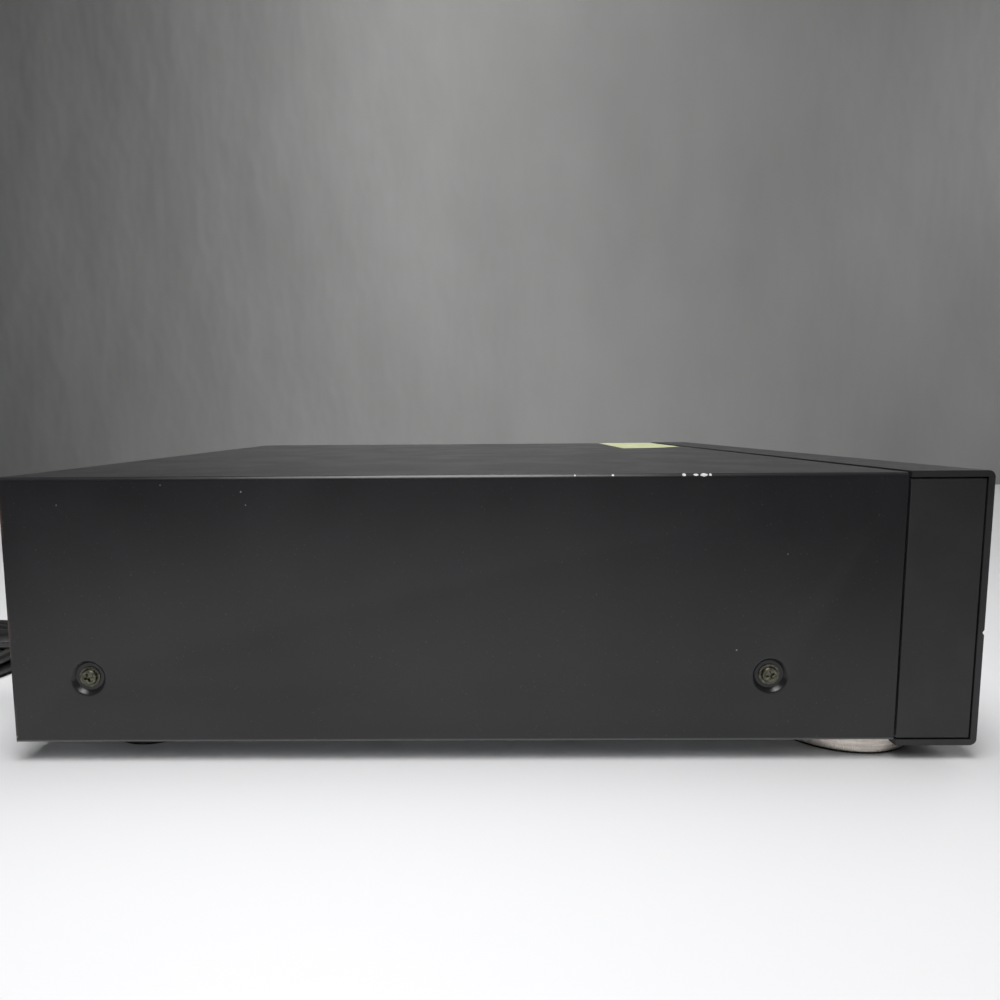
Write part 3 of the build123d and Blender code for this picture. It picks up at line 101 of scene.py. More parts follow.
# %% [markdown]
# ## Building blocks for finishes
#
# A finish is a Principled shader whose colour, roughness and bump come from
# noise on Object coordinates. A few short helpers keep each recipe readable:
# one makes the shader, one makes noise of a real size, and one turns a noise
# into a mask between two levels.


# %% Shader helpers
def new_finish(name, colour, roughness, metallic=0.0, specular=0.5, coat=0.0):
    """A material, with its Principled shader set to plain values."""
    material = bpy.data.materials.new(name)
    material.use_nodes = True
    shader = material.node_tree.nodes["Principled BSDF"]
    shader.inputs["Base Color"].default_value = (*colour, 1)
    shader.inputs["Roughness"].default_value = roughness
    shader.inputs["Metallic"].default_value = metallic
    shader.inputs["Specular IOR Level"].default_value = specular
    shader.inputs["Coat Weight"].default_value = coat
    return material, shader


def link(material, source, target):
    material.node_tree.links.new(source, target)


def place_of(material, stretch=(1, 1, 1)):
    """Object coordinates, stretched along an axis where a grain runs."""
    nodes = material.node_tree.nodes
    coordinates = nodes.new("ShaderNodeTexCoord")
    mapping = nodes.new("ShaderNodeMapping")
    mapping.inputs["Scale"].default_value = stretch
    link(material, coordinates.outputs["Object"], mapping.inputs["Vector"])
    return mapping.outputs["Vector"]


def noise(material, size, detail=2.0, stretch=(1, 1, 1), rough=0.5):
    """Noise whose blotches are about size metres across."""
    texture = material.node_tree.nodes.new("ShaderNodeTexNoise")
    texture.inputs["Scale"].default_value = 1 / size
    texture.inputs["Detail"].default_value = detail
    texture.inputs["Roughness"].default_value = rough
    link(material, place_of(material, stretch), texture.inputs["Vector"])
    return texture.outputs["Fac"]


def between(material, value, low, high, out_low=0.0, out_high=1.0):
    """Value, remapped so that low gives out_low and high gives out_high."""
    node = material.node_tree.nodes.new("ShaderNodeMapRange")
    node.interpolation_type = "SMOOTHSTEP"
    link(material, value, node.inputs["Value"])
    node.inputs["From Min"].default_value = low
    node.inputs["From Max"].default_value = high
    node.inputs["To Min"].default_value = out_low
    node.inputs["To Max"].default_value = out_high
    return node.outputs["Result"]


def combine(material, operation, first, second):
    """One Math node on two outputs or numbers."""
    node = material.node_tree.nodes.new("ShaderNodeMath")
    node.operation = operation
    for place, value in enumerate((first, second)):
        if isinstance(value, (int, float)):
            node.inputs[place].default_value = value
        else:
            link(material, value, node.inputs[place])
    return node.outputs["Value"]


def blend_colour(material, mask, first, second):
    """A colour between two, by a mask. Each colour is three numbers or an output."""
    node = material.node_tree.nodes.new("ShaderNodeMix")
    node.data_type = "RGBA"
    link(material, mask, node.inputs["Factor"])
    for name, value in (("A", first), ("B", second)):
        socket = [s for s in node.inputs if s.name == name and s.type == "RGBA"][0]
        if isinstance(value, tuple):
            socket.default_value = (*value, 1)
        else:
            link(material, value, socket)
    return [s for s in node.outputs if s.type == "RGBA"][0]


def add_bump(material, shader, height, depth, strength=1.0):
    """Bump of a real depth in metres, laid over whatever bump the shader has."""
    node = material.node_tree.nodes.new("ShaderNodeBump")
    node.inputs["Distance"].default_value = depth
    node.inputs["Strength"].default_value = strength
    link(material, height, node.inputs["Height"])
    if shader.inputs["Normal"].is_linked:
        link(material, shader.inputs["Normal"].links[0].from_socket, node.inputs["Normal"])
    link(material, node.outputs["Normal"], shader.inputs["Normal"])


def axis_value(material, axis):
    """One Object coordinate, in metres."""
    node = material.node_tree.nodes.new("ShaderNodeSeparateXYZ")
    link(material, place_of(material), node.inputs["Vector"])
    return node.outputs[axis]


def spot(material, centre, size, ragged=0.5):
    """A worn spot: 1 inside an ellipsoid of the given half sizes, with a ragged edge."""
    nodes = material.node_tree.nodes
    coordinates = nodes.new("ShaderNodeTexCoord")
    mapping = nodes.new("ShaderNodeMapping")
    mapping.vector_type = "POINT"
    mapping.inputs["Scale"].default_value = [1 / value for value in size]
    mapping.inputs["Location"].default_value = [-c / value for c, value in zip(centre, size)]
    link(material, coordinates.outputs["Object"], mapping.inputs["Vector"])
    length = nodes.new("ShaderNodeVectorMath")
    length.operation = "LENGTH"
    link(material, mapping.outputs["Vector"], length.inputs[0])
    grain = noise(material, min(size) * 1.2, 3.0)
    edge = combine(material, "MULTIPLY_ADD", grain, ragged)
    edge.node.inputs[2].default_value = 1 - ragged / 2
    inside = combine(material, "SUBTRACT", edge, length.outputs["Value"])
    return between(material, inside, 0.0, 0.18)


def any_of(material, masks):
    """The highest of several masks."""
    result = masks[0]
    for mask in masks[1:]:
        result = combine(material, "MAXIMUM", result, mask)
    return result


print("shader helpers ready")

# %% [markdown]
# ## The painted cover
#
# The cover is folded from one sheet and sprayed with a satin black paint that
# dries with a fine, sandy grain. Years of handling leave it a little greyer in
# patches, chipped to bare metal along the fold, and worn brown at its rear edge.
# The places of the chips are those of the real case. A painted highlight
# lightens a thin strip along the bottom edge of the side.

# %% Cover paint
COVER_SIDE = -217.5 * MM
FOLD_HEIGHT = 129.8 * MM
FOLD_CHIPS = [
    # place along the fold, half length, half height, all in millimetres
    (-82.8, 0.9, 0.7),
    (-88.0, 1.2, 0.6),
    (-91.5, 1.8, 0.8),
    (-94.2, 0.7, 0.6),
    (-52.0, 0.6, 0.5),
    (-35.5, 0.4, 0.4),
]
SIDE_SPECKS = [
    # place along the side, height, half size, all in millimetres
    (145.5, 126.7, 0.30),
    (110.3, 123.5, 0.40),
    (108.4, 117.7, 0.30),
    (191.7, 118.2, 0.28),
    (-108.1, 51.5, 0.40),
    (-129.0, 94.7, 0.28),
    (216.8, 12.2, 0.60),
]


def make_cover_paint():
    paint, shader = new_finish("cover_paint", (0.012, 0.012, 0.0125), 0.36, specular=0.5)
    handled = between(paint, noise(paint, 90 * MM, 3.0), 0.35, 0.7)
    mottled = blend_colour(paint, handled, (0.0105, 0.0102, 0.0116), (0.0150, 0.0144, 0.0160))
    dust = between(paint, noise(paint, 0.9 * MM, 1.0), 0.70, 0.80)
    dusty = blend_colour(paint, combine(paint, "MULTIPLY", dust, 0.35), mottled, (0.10, 0.10, 0.098))
    chips = [
        spot(paint, (COVER_SIDE, along * MM, FOLD_HEIGHT), (2.2 * MM, long * MM, high * MM), 0.9)
        for along, long, high in FOLD_CHIPS
    ]
    specks = [
        spot(paint, (COVER_SIDE, along * MM, height * MM), (1.0 * MM, size * MM, size * MM), 0.7)
        for along, height, size in SIDE_SPECKS
    ]
    height = axis_value(paint, "Z")
    # Painted highlight: the paint turns lighter grey below 10.9 mm up, a thin strip along the bottom edge
    painted_bottom_highlight = between(paint, height, 10.9 * MM, 10.3 * MM)
    bare = any_of(paint, chips)
    rear = between(paint, axis_value(paint, "Y"), 215.6 * MM, 216.9 * MM)
    rubbed = between(paint, noise(paint, 6 * MM, 4.0, (1, 1, 0.35)), 0.50, 0.62)
    brown = combine(paint, "MULTIPLY", combine(paint, "MULTIPLY", rear, rubbed), 0.8)
    worn = blend_colour(paint, brown, dusty, (0.085, 0.058, 0.040))
    # The painted highlight along the bottom edge is laid over the real wear here
    worn = blend_colour(paint, combine(paint, "MULTIPLY", painted_bottom_highlight, 0.8), worn, (0.13, 0.13, 0.13))
    dotted = blend_colour(paint, any_of(paint, specks), worn, (0.24, 0.24, 0.23))
    chipped = blend_colour(paint, bare, dotted, (0.62, 0.61, 0.58))
    link(paint, chipped, shader.inputs["Base Color"])
    sheen = between(paint, noise(paint, 35 * MM, 4.0), 0.3, 0.7, 0.30, 0.36)
    link(paint, sheen, shader.inputs["Roughness"])
    add_bump(paint, shader, noise(paint, 0.55 * MM, 2.0), 0.035 * MM)
    add_bump(paint, shader, noise(paint, 45 * MM, 1.0), 0.18 * MM)
    return paint


# %% [markdown]
# ## Moulded plastic
#
# The front panel, its end caps and the keys are moulded from black plastic with
# a spark-eroded grain: hundreds of tiny pits for each square millimetre. Keys
# are touched every day, so they shine a little more than the panel around them.


# %% Moulded plastics
def make_moulded(name, colour, roughness, grain_size, grain_depth, shine=0.05):
    plastic, shader = new_finish(name, colour, roughness)
    lighter = tuple(value * 1.25 for value in colour)
    cloud = between(plastic, noise(plastic, 25 * MM, 4.0), 0.35, 0.65)
    tone = blend_colour(plastic, cloud, colour, lighter)
    dust = between(plastic, noise(plastic, 0.8 * MM, 1.0), 0.72, 0.80)
    dusty = blend_colour(plastic, combine(plastic, "MULTIPLY", dust, 0.25), tone, (0.14, 0.14, 0.14))
    link(plastic, dusty, shader.inputs["Base Color"])
    gloss = between(plastic, noise(plastic, 14 * MM, 4.0), 0.3, 0.7, roughness - shine, roughness + shine)
    link(plastic, gloss, shader.inputs["Roughness"])
    add_bump(plastic, shader, noise(plastic, grain_size, 2.0), grain_depth)
    return plastic


# %% [markdown]
# ## Metals
#
# Sheet zinc shows pale crystals, a turned foot shows fine rings round its axis,
# a drawn can shows streaks along its height, and a plated screw is an uneven
# olive grey. Each is a metallic shader with its own noise.


# %% Metals
def make_brushed(name, colour, roughness, stretch, depth=0.01 * MM, uneven=0.06):
    metal, shader = new_finish(name, colour, roughness, metallic=1.0)
    darker = tuple(value * 0.72 for value in colour)
    streaks = noise(metal, 1.2 * MM, 4.0, stretch)
    tone = blend_colour(metal, between(metal, streaks, 0.3, 0.7), darker, colour)
    link(metal, tone, shader.inputs["Base Color"])
    gloss = between(metal, streaks, 0.3, 0.7, roughness - uneven, roughness + uneven)
    link(metal, gloss, shader.inputs["Roughness"])
    add_bump(metal, shader, streaks, depth)
    return metal


def make_zinc_sheet():
    zinc, shader = new_finish("zinc_sheet", (0.55, 0.56, 0.56), 0.36, metallic=1.0)
    crystals = zinc.node_tree.nodes.new("ShaderNodeTexVoronoi")
    crystals.inputs["Scale"].default_value = 1 / (7 * MM)
    link(zinc, place_of(zinc), crystals.inputs["Vector"])
    tone = between(zinc, crystals.outputs["Distance"], 0.0, 0.7)
    link(zinc, blend_colour(zinc, tone, (0.50, 0.51, 0.52), (0.66, 0.67, 0.67)), shader.inputs["Base Color"])
    link(zinc, between(zinc, noise(zinc, 5 * MM, 3.0), 0.3, 0.7, 0.28, 0.44), shader.inputs["Roughness"])
    add_bump(zinc, shader, noise(zinc, 0.5 * MM, 2.0), 0.01 * MM)
    return zinc


def make_champagne():
    """The foot's turned and anodised shell: rings round each foot, on object coordinates."""
    metal, shader = new_finish("champagne_metal", (0.66, 0.60, 0.54), 0.30, metallic=1.0)
    rings = noise(metal, 0.35 * MM, 2.0, (0.02, 0.02, 1.0))
    tone = blend_colour(metal, between(metal, rings, 0.3, 0.7), (0.56, 0.50, 0.45), (0.78, 0.72, 0.66))
    link(metal, tone, shader.inputs["Base Color"])
    link(metal, between(metal, noise(metal, 4 * MM, 3.0), 0.3, 0.7, 0.24, 0.38), shader.inputs["Roughness"])
    add_bump(metal, shader, rings, 0.02 * MM)
    return metal


# %% [markdown]
# ## Rubber, glass, boards and the rest
#
# The smaller finishes follow the same pattern. The window is smoked and clear,
# the circuit board has green lacquer over paler tracks, and the transformer's
# core is a stack of thin laminations, so its noise is squeezed along one axis.


# %% Other finishes
def make_smoked_window():
    window, shader = new_finish("smoked_window", (0.012, 0.012, 0.014), 0.06)
    shader.inputs["Alpha"].default_value = 0.62
    smears = between(window, noise(window, 18 * MM, 5.0), 0.4, 0.7, 0.05, 0.12)
    link(window, smears, shader.inputs["Roughness"])
    return window


def make_circuit_board():
    board, shader = new_finish("circuit_board", (0.05, 0.13, 0.045), 0.38)
    tracks = board.node_tree.nodes.new("ShaderNodeTexBrick")
    tracks.inputs["Scale"].default_value = 1 / (14 * MM)
    tracks.inputs["Mortar Size"].default_value = 0.012
    link(board, place_of(board), tracks.inputs["Vector"])
    tone = blend_colour(board, tracks.outputs["Fac"], (0.035, 0.105, 0.032), (0.10, 0.20, 0.07))
    link(board, tone, shader.inputs["Base Color"])
    add_bump(board, shader, noise(board, 1.5 * MM, 3.0), 0.02 * MM)
    return board


def make_transformer_steel():
    core, shader = new_finish("transformer_steel", (0.16, 0.15, 0.14), 0.5, metallic=0.8)
    sheets = noise(core, 0.6 * MM, 1.0, (0.02, 1.0, 0.02))
    tone = blend_colour(core, between(core, sheets, 0.35, 0.65), (0.07, 0.065, 0.06), (0.24, 0.22, 0.20))
    link(core, tone, shader.inputs["Base Color"])
    add_bump(core, shader, sheets, 0.08 * MM)
    return core


def make_gold_plating():
    gold, shader = new_finish("plug_plating", (0.83, 0.62, 0.28), 0.22, metallic=1.0)
    worn = between(gold, noise(gold, 3 * MM, 4.0), 0.45, 0.7)
    link(gold, blend_colour(gold, worn, (0.86, 0.65, 0.30), (0.62, 0.50, 0.30)), shader.inputs["Base Color"])
    link(gold, between(gold, noise(gold, 2 * MM, 3.0), 0.3, 0.7, 0.16, 0.32), shader.inputs["Roughness"])
    return gold


def make_screw_zinc():
    zinc, shader = new_finish("screw_zinc", (0.20, 0.19, 0.15), 0.38, metallic=1.0)
    patches = between(zinc, noise(zinc, 1.6 * MM, 4.0), 0.35, 0.65)
    tone = blend_colour(zinc, patches, (0.070, 0.068, 0.052), (0.18, 0.175, 0.135))
    link(zinc, tone, shader.inputs["Base Color"])
    link(zinc, between(zinc, noise(zinc, 0.8 * MM, 3.0), 0.3, 0.7, 0.30, 0.52), shader.inputs["Roughness"])
    add_bump(zinc, shader, noise(zinc, 0.35 * MM, 2.0), 0.02 * MM)
    return zinc


finishes = {
    "cover_paint": make_cover_paint(),
    "rear_paint": make_moulded("rear_paint", (0.020, 0.020, 0.021), 0.46, 0.5 * MM, 0.03 * MM),
    "zinc_sheet": make_zinc_sheet(),
    "panel_plastic": make_moulded("panel_plastic", (0.016, 0.016, 0.017), 0.44, 0.30 * MM, 0.03 * MM),
    "button_plastic": make_moulded("button_plastic", (0.028, 0.028, 0.030), 0.36, 0.25 * MM, 0.012 * MM),
    "champagne_metal": make_champagne(),
    "foot_rubber": make_moulded("foot_rubber", (0.016, 0.015, 0.015), 0.75, 0.6 * MM, 0.05 * MM),
    "rear_foot_plastic": make_moulded("rear_foot_plastic", (0.020, 0.020, 0.020), 0.58, 0.5 * MM, 0.04 * MM),
    "screw_zinc": make_screw_zinc(),
    "screw_black": make_moulded("screw_black", (0.030, 0.029, 0.028), 0.34, 0.4 * MM, 0.02 * MM),
    "smoked_window": make_smoked_window(),
    "display_glass": make_moulded("display_glass", (0.020, 0.030, 0.030), 0.12, 3 * MM, 0.004 * MM),
    "circuit_board": make_circuit_board(),
    "transformer_steel": make_transformer_steel(),
    "capacitor_sleeve": make_moulded("capacitor_sleeve", (0.012, 0.014, 0.035), 0.25, 1.0 * MM, 0.01 * MM),
    "socket_plastic": make_moulded("socket_plastic", (0.016, 0.016, 0.016), 0.30, 0.4 * MM, 0.012 * MM),
    "plug_plating": make_gold_plating(),
    "cord_rubber": make_moulded("cord_rubber", (0.013, 0.013, 0.013), 0.42, 0.7 * MM, 0.03 * MM),
    "tie_plastic": make_moulded("tie_plastic", (0.030, 0.030, 0.030), 0.45, 0.5 * MM, 0.03 * MM),
    "tray_plastic": make_moulded("tray_plastic", (0.026, 0.026, 0.028), 0.48, 0.35 * MM, 0.03 * MM),
    "frame_plastic": make_moulded("frame_plastic", (0.055, 0.055, 0.055), 0.50, 0.5 * MM, 0.03 * MM),
    "motor_steel": make_brushed("motor_steel", (0.55, 0.55, 0.54), 0.30, (1.0, 1.0, 0.05)),
    "gear_plastic": make_moulded("gear_plastic", (0.74, 0.72, 0.64), 0.40, 0.8 * MM, 0.01 * MM),
    "belt_rubber": make_moulded("belt_rubber", (0.018, 0.017, 0.017), 0.62, 0.4 * MM, 0.03 * MM),
    "rod_steel": make_brushed("rod_steel", (0.75, 0.75, 0.76), 0.14, (1.0, 0.03, 1.0), 0.002 * MM, 0.04),
    "pickup_metal": make_brushed("pickup_metal", (0.52, 0.52, 0.53), 0.42, (1.0, 1.0, 1.0), 0.03 * MM),
}
for node, obj in frame["nodes"].items():
    obj.data.materials.clear()
    obj.data.materials.append(finishes[slot_of[node]])
print("finished", len(frame["nodes"]), "nodes in", len(finishes), "materials")

# %% [markdown]
# ## Soft edges
#
# No real edge is perfectly sharp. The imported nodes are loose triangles, so a
# copy of each one that shows is merged, its flat faces are joined again, and a
# Bevel modifier rounds its corners by a few tenths of a millimetre. The copy
# then stands for its node. This catches the light as a real edge does.


# %% Rounded copies
def rounded_copy(node, width, segments=2, corner=30):
    """A smooth, bevelled copy of a node that stands for it."""
    source = frame["nodes"][node]
    mesh = source.data.copy()
    work = bmesh.new()
    work.from_mesh(mesh)
    bmesh.ops.remove_doubles(work, verts=work.verts, dist=1e-6)
    bmesh.ops.dissolve_limit(
        work, angle_limit=radians(0.6), use_dissolve_boundaries=False, verts=work.verts, edges=work.edges
    )
    for face in work.faces:
        face.smooth = True
    for edge in work.edges:
        edge.smooth = len(edge.link_faces) == 2 and edge.calc_face_angle(0) < radians(corner)
    work.to_mesh(mesh)
    work.free()
    mesh.name = node + "_soft"
    piece = bpy.data.objects.new(node + "_soft", mesh)
    bpy.context.scene.collection.objects.link(piece)
    if width:
        bevel = piece.modifiers.new("soft edges", "BEVEL")
        bevel.width = width
        bevel.segments = segments
        bevel.limit_method = "ANGLE"
        bevel.angle_limit = radians(corner)
        bevel.harden_normals = True
        bevel.use_clamp_overlap = True
    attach(piece, body_of[node])
    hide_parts(node)
    return piece


def second_finish(piece, material, belongs):
    """Give another material to the faces whose middle belongs to a part of the piece."""
    piece.data.materials.append(material)
    for face in piece.data.polygons:
        if belongs(face.center):
            face.material_index = len(piece.data.materials) - 1


soft_edges = {
    "top_cover": 0.3,
    "front_panel": 0.35,
    "end_caps": 0.3,
    "rear_panel": 0.15,
    "front_foot_shells": 0.4,
    "rear_feet": 0.4,
    "front_foot_pads": 0.3,
    "cover_screws": 0.15,
    "rear_screws": 0.15,
    "phones_jack": 0.3,
    "level_knob": 0.3,
    "jack_block": 0.3,
    "line_out_shells": 0.12,
    "cord_bushing": 0.3,
    "cord_tie": 0.15,
    "mains_plug": 0.4,
    "tray_door": 0.0,
    "disc_tray": 0.2,
    "carousel_cap": 0.0,
    "display_window": 0.1,
}
soft_edges.update({node: 0.0 for node in frame["nodes"] if node.endswith("_button")})
soft = {node: rounded_copy(node, width * MM) for node, width in soft_edges.items()}
BLADE_LENGTH = 17 * MM
blade_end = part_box("mains_plug")[0][1]
nickel = make_brushed("blade_nickel", (0.66, 0.64, 0.58), 0.24, (1.0, 0.1, 1.0), 0.004 * MM)
second_finish(soft["mains_plug"], nickel, lambda middle: middle.y < blade_end + BLADE_LENGTH - 0.2 * MM)
print("rounded", len(soft_edges), "pieces")

# %% [markdown]
# ## Printing on the front
#
# Keys carry plain numbers and the plain signs for play, pause, stop and skip. Each
# sign is a thin sheet of pale ink on its key's face, built from triangles, bars
# and rings, and it rides with its key when that is pressed. The shapes are made
# upright and one millimetre thick, then pressed to the ink's thickness. None of
# this shows in the photograph, which looks at the side.

# %% Printed signs
FRONT_FACE = -217.0
KEY_FACE = -218.2
INK_THICKNESS = 0.05
KNOB_PLACE = (-150.0, 26.0)
SCALE_RADIUS = 11.0
SCALE_TICKS = 11
SCALE_SWEEP = 150
TICK_LENGTH = 1.5
TICK_WIDTH = 0.36


def make_ink(name, colour):
    ink, shader = new_finish(name, colour, 0.55)
    worn = between(ink, noise(ink, 0.7 * MM, 3.0), 0.35, 0.60)
    thin = tuple(value * 0.72 for value in colour)
    link(ink, blend_colour(ink, worn, thin, colour), shader.inputs["Base Color"])
    add_bump(ink, shader, noise(ink, 0.3 * MM, 2.0), 0.01 * MM)
    return ink


ink_pale = make_ink("ink_pale", (0.50, 0.50, 0.47))


def add_bar(work, x, z, wide, high, turn=0):
    """A flat bar with its middle at x, z, turned anticlockwise as seen from the front."""
    place = Matrix.Translation((x, 0, z)) @ Matrix.Rotation(radians(-turn), 4, "Y")
    bmesh.ops.create_cube(work, size=1, matrix=place @ Matrix.Diagonal((wide, 1, high, 1)))


def add_arrow(work, x, z, size, turn):
    """A solid triangle with its middle at x, z that points along turn degrees."""
    stand = Matrix.Rotation(radians(90 - turn), 4, "Y") @ Matrix.Rotation(radians(90), 4, "X")
    place = Matrix.Translation((x, 0, z)) @ stand
    bmesh.ops.create_cone(work, cap_ends=True, segments=3, radius1=size, radius2=size, depth=1, matrix=place)


def add_ring(work, x, z, radius, width, start=0, end=360, steps=28):
    """A ring, or part of one: a small square section, spun round its middle."""
    across = Matrix.Translation((radius - width / 2, 0, 0)) @ Matrix.Diagonal((width, 1, 1, 1))
    place = Matrix.Translation((x, 0, z)) @ Matrix.Rotation(radians(-start), 4, "Y") @ across
    corners = bmesh.ops.create_grid(work, x_segments=1, y_segments=1, size=0.5, matrix=place)["verts"]
    section = corners[0].link_faces[0]
    edges = list(section.edges)
    full = end - start == 360
    if full:
        bmesh.ops.delete(work, geom=[section], context="FACES_ONLY")
    geometry = corners + edges + ([] if full else [section])
    middle, axis, sweep = (x, 0, z), (0, -1, 0), radians(end - start)
    bmesh.ops.spin(work, geom=geometry, cent=middle, axis=axis, angle=sweep, steps=steps, use_merge=full)


def add_figure(work, text, x, z, height):
    """Plain figures, as solid type, with their middle at x, z."""
    curve = bpy.data.curves.new("figure", "FONT")
    curve.body = text
    curve.size = height * 1.35
    curve.align_x = "CENTER"
    curve.extrude = 0.5
    holder = bpy.data.objects.new("figure", curve)
    mesh = bpy.data.meshes.new_from_object(holder)
    heights = [vertex.co.y for vertex in mesh.vertices]
    centred = Matrix.Translation((0, -(max(heights) + min(heights)) / 2, 0))
    mesh.transform(Matrix.Translation((x, 0, z)) @ Matrix.Rotation(radians(90), 4, "X") @ centred)
    work.from_mesh(mesh)
    bpy.data.objects.remove(holder)
    bpy.data.curves.remove(curve)
    bpy.data.meshes.remove(mesh)


def stand_in_scene(name, work, place, body, material):
    """Close a bmesh in millimetres, put it at its place and let it ride with a body."""
    bmesh.ops.remove_doubles(work, verts=work.verts, dist=1e-5)
    bmesh.ops.transform(work, matrix=Matrix.Scale(MM, 4) @ place, verts=work.verts)
    bmesh.ops.recalc_face_normals(work, faces=work.faces)
    mesh = bpy.data.meshes.new(name)
    work.to_mesh(mesh)
    work.free()
    mesh.materials.append(material)
    piece = bpy.data.objects.new(name, mesh)
    bpy.context.scene.collection.objects.link(piece)
    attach(piece, body)
    return piece


SINK = 0.02


def print_sign(name, body, place, face, shapes, material=ink_pale, thick=INK_THICKNESS):
    """Shapes one millimetre thick, pressed to the ink's thickness and sunk a little into a face."""
    work = bmesh.new()
    for add, *values in shapes:
        add(work, *values)
    pressed = Matrix.Diagonal((1, thick + SINK, 1, 1))
    lay = Matrix.Translation((place[0], face - (thick - SINK) / 2, place[1])) @ pressed
    return stand_in_scene(name, work, lay, body, material)


signs = {
    "play_pause_button": [
        (add_arrow, -4.0, 0, 2.6, 0),
        (add_bar, 1.9, 0, 1.2, 4.2),
        (add_bar, 4.5, 0, 1.2, 4.2),
    ],
    "stop_button": [(add_bar, 0, 0, 4.0, 4.0)],
    "skip_back_button": [
        (add_bar, -3.9, 0, 0.9, 4.0),
        (add_arrow, -1.4, 0, 2.3, 180),
        (add_arrow, 2.2, 0, 2.3, 180),
    ],
    "skip_forward_button": [
        (add_bar, 3.9, 0, 0.9, 4.0),
        (add_arrow, 1.4, 0, 2.3, 0),
        (add_arrow, -2.2, 0, 2.3, 0),
    ],
    "open_close_button": [(add_arrow, 0, 0.7, 2.3, 90), (add_bar, 0, -1.9, 4.2, 0.9)],
    "disc_skip_button": [
        (add_ring, -1.6, 0, 2.4, 0.5),
        (add_ring, -1.6, 0, 0.8, 0.4),
        (add_arrow, 3.6, 0, 1.9, 0),
    ],
    "power_button": [(add_ring, 0, -0.3, 2.6, 0.6, 125, 415), (add_bar, 0, 1.6, 0.7, 3.0)],
}
for number in range(1, 6):
    signs[f"disc_{number}_button"] = [(add_figure, str(number), 0, 0, 4.2)]
for key, shapes in signs.items():
    low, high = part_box(key)
    middle = ((low[0] + high[0]) / 2 / MM, (low[2] + high[2]) / 2 / MM)
    print_sign(key + "_sign", body_of[key], middle, KEY_FACE, shapes)

ticks = []
for tick in range(SCALE_TICKS):
    turn = 90 + SCALE_SWEEP - tick * 2 * SCALE_SWEEP / (SCALE_TICKS - 1)
    across, upward = SCALE_RADIUS * cos(radians(turn)), SCALE_RADIUS * sin(radians(turn))
    ticks.append((add_bar, across, upward, TICK_LENGTH, TICK_WIDTH, turn))
print_sign("knob_scale", "case", KNOB_PLACE, FRONT_FACE, ticks)

ghost = make_ink("ghost_segments", (0.26, 0.33, 0.31))
module_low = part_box("display_module")[0]
segments = [(add_figure, str(number), -61 + 9 * number, 38, 4.0) for number in range(1, 6)]
segments += [(add_figure, "88", -44, 27, 9.0), (add_figure, "88:88", 32, 32, 12.0)]
print_sign("display_segments", "case", (0, 0), module_low[1] / MM, segments, ghost)
print("printed", len(signs), "keys and", len(ticks), "ticks")

# %% [markdown]
# ## The label and the sockets' rings
#
# A long paper label lies on the top of the cover, near the far front corner. It
# is bare. Its near end and cut corner were read from the photograph. Its far end
# is a guess, because the view grazes the cover. Each line-out socket has a coloured
# plastic ring, white in the upper row and red in the lower.

# %% Label and rings
COVER_TOP = 130.4
LABEL_OUTLINE = [(72, -120), (215, -126), (215, -178.3), (103, -175.5), (81, -154)]
LABEL_THICKNESS = 0.12


def make_paper():
    paper, shader = new_finish("label_paper", (0.48, 0.50, 0.27), 0.62)
    fibres = noise(paper, 1.4 * MM, 5.0, (0.4, 1.0, 1.0))
    faded = blend_colour(paper, between(paper, fibres, 0.3, 0.7), (0.42, 0.45, 0.24), (0.54, 0.56, 0.33))
    edge = between(paper, noise(paper, 16 * MM, 3.0), 0.55, 0.72)
    link(paper, blend_colour(paper, edge, faded, (0.62, 0.62, 0.52)), shader.inputs["Base Color"])
    add_bump(paper, shader, fibres, 0.03 * MM)
    return paper


work = bmesh.new()
corners = [work.verts.new((x, y, COVER_TOP + 0.01)) for x, y in LABEL_OUTLINE]
grown = bmesh.ops.extrude_face_region(work, geom=[work.faces.new(corners)])
raised = [part for part in grown["geom"] if isinstance(part, bmesh.types.BMVert)]
bmesh.ops.translate(work, verts=raised, vec=(0, 0, LABEL_THICKNESS))
stand_in_scene("cover_label", work, Matrix(), "case", make_paper())

SHELL_RADIUS = 5.35
RING_RADIUS = 6.9
RING_THICKNESS = 0.7
RING_PLAY = 0.05
SOCKET_FACE = 216.7
ring_colours = {
    1: make_moulded("ring_white", (0.62, 0.61, 0.57), 0.42, 0.4 * MM, 0.01 * MM),
    -1: make_moulded("ring_red", (0.42, 0.02, 0.02), 0.42, 0.4 * MM, 0.01 * MM),
}
shell_low, shell_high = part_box("line_out_shells")


def shell_middle(axis, side):
    """Where the shells on one side have their middle along an axis, in millimetres."""
    middle = (shell_low[axis] + shell_high[axis]) / 2
    reach = (shell_high[axis] - shell_low[axis]) / 2 - SHELL_RADIUS * MM
    return (middle + side * reach) / MM


for side in (-1, 1):
    for row, material in ring_colours.items():
        name = f"socket_ring_{'left' if side < 0 else 'right'}_{'upper' if row > 0 else 'lower'}"
        shape = [(add_ring, 0, 0, RING_RADIUS, RING_RADIUS - SHELL_RADIUS - RING_PLAY, 0, 360, 36)]
        place = (shell_middle(0, side), shell_middle(2, row))
        face = SOCKET_FACE + RING_THICKNESS
        print_sign(name, "case", place, face, shape, material, RING_THICKNESS)
print("label and", 2 * len(ring_colours), "rings")

# %% [markdown]
# ## The mains cord
#
# A cord has one real length and lies under its own weight, so it is one smooth
# curve. It leaves the bushing straight, drops behind the case, runs along the
# table into a coil of two layers, and comes out of the top layer to its plug.
# The route's points are its control points. The coil's turns come from a loop.

# %% Cord route
CORD_DIAMETER = 7.0 * MM
BUSHING_END = Vector((-150.0, 250.0, 40.0)) * MM
COIL_CENTRE = (-94.0 * MM, 352.0 * MM)
COIL_RADIUS = 61.5 * MM
COIL_PITCH = 7.6 * MM
COIL_TURNS = 2
LOW = 4.4 * MM
HIGH = LOW + COIL_PITCH
PLUG_HEIGHT = 6.6 * MM
STEPS = 16

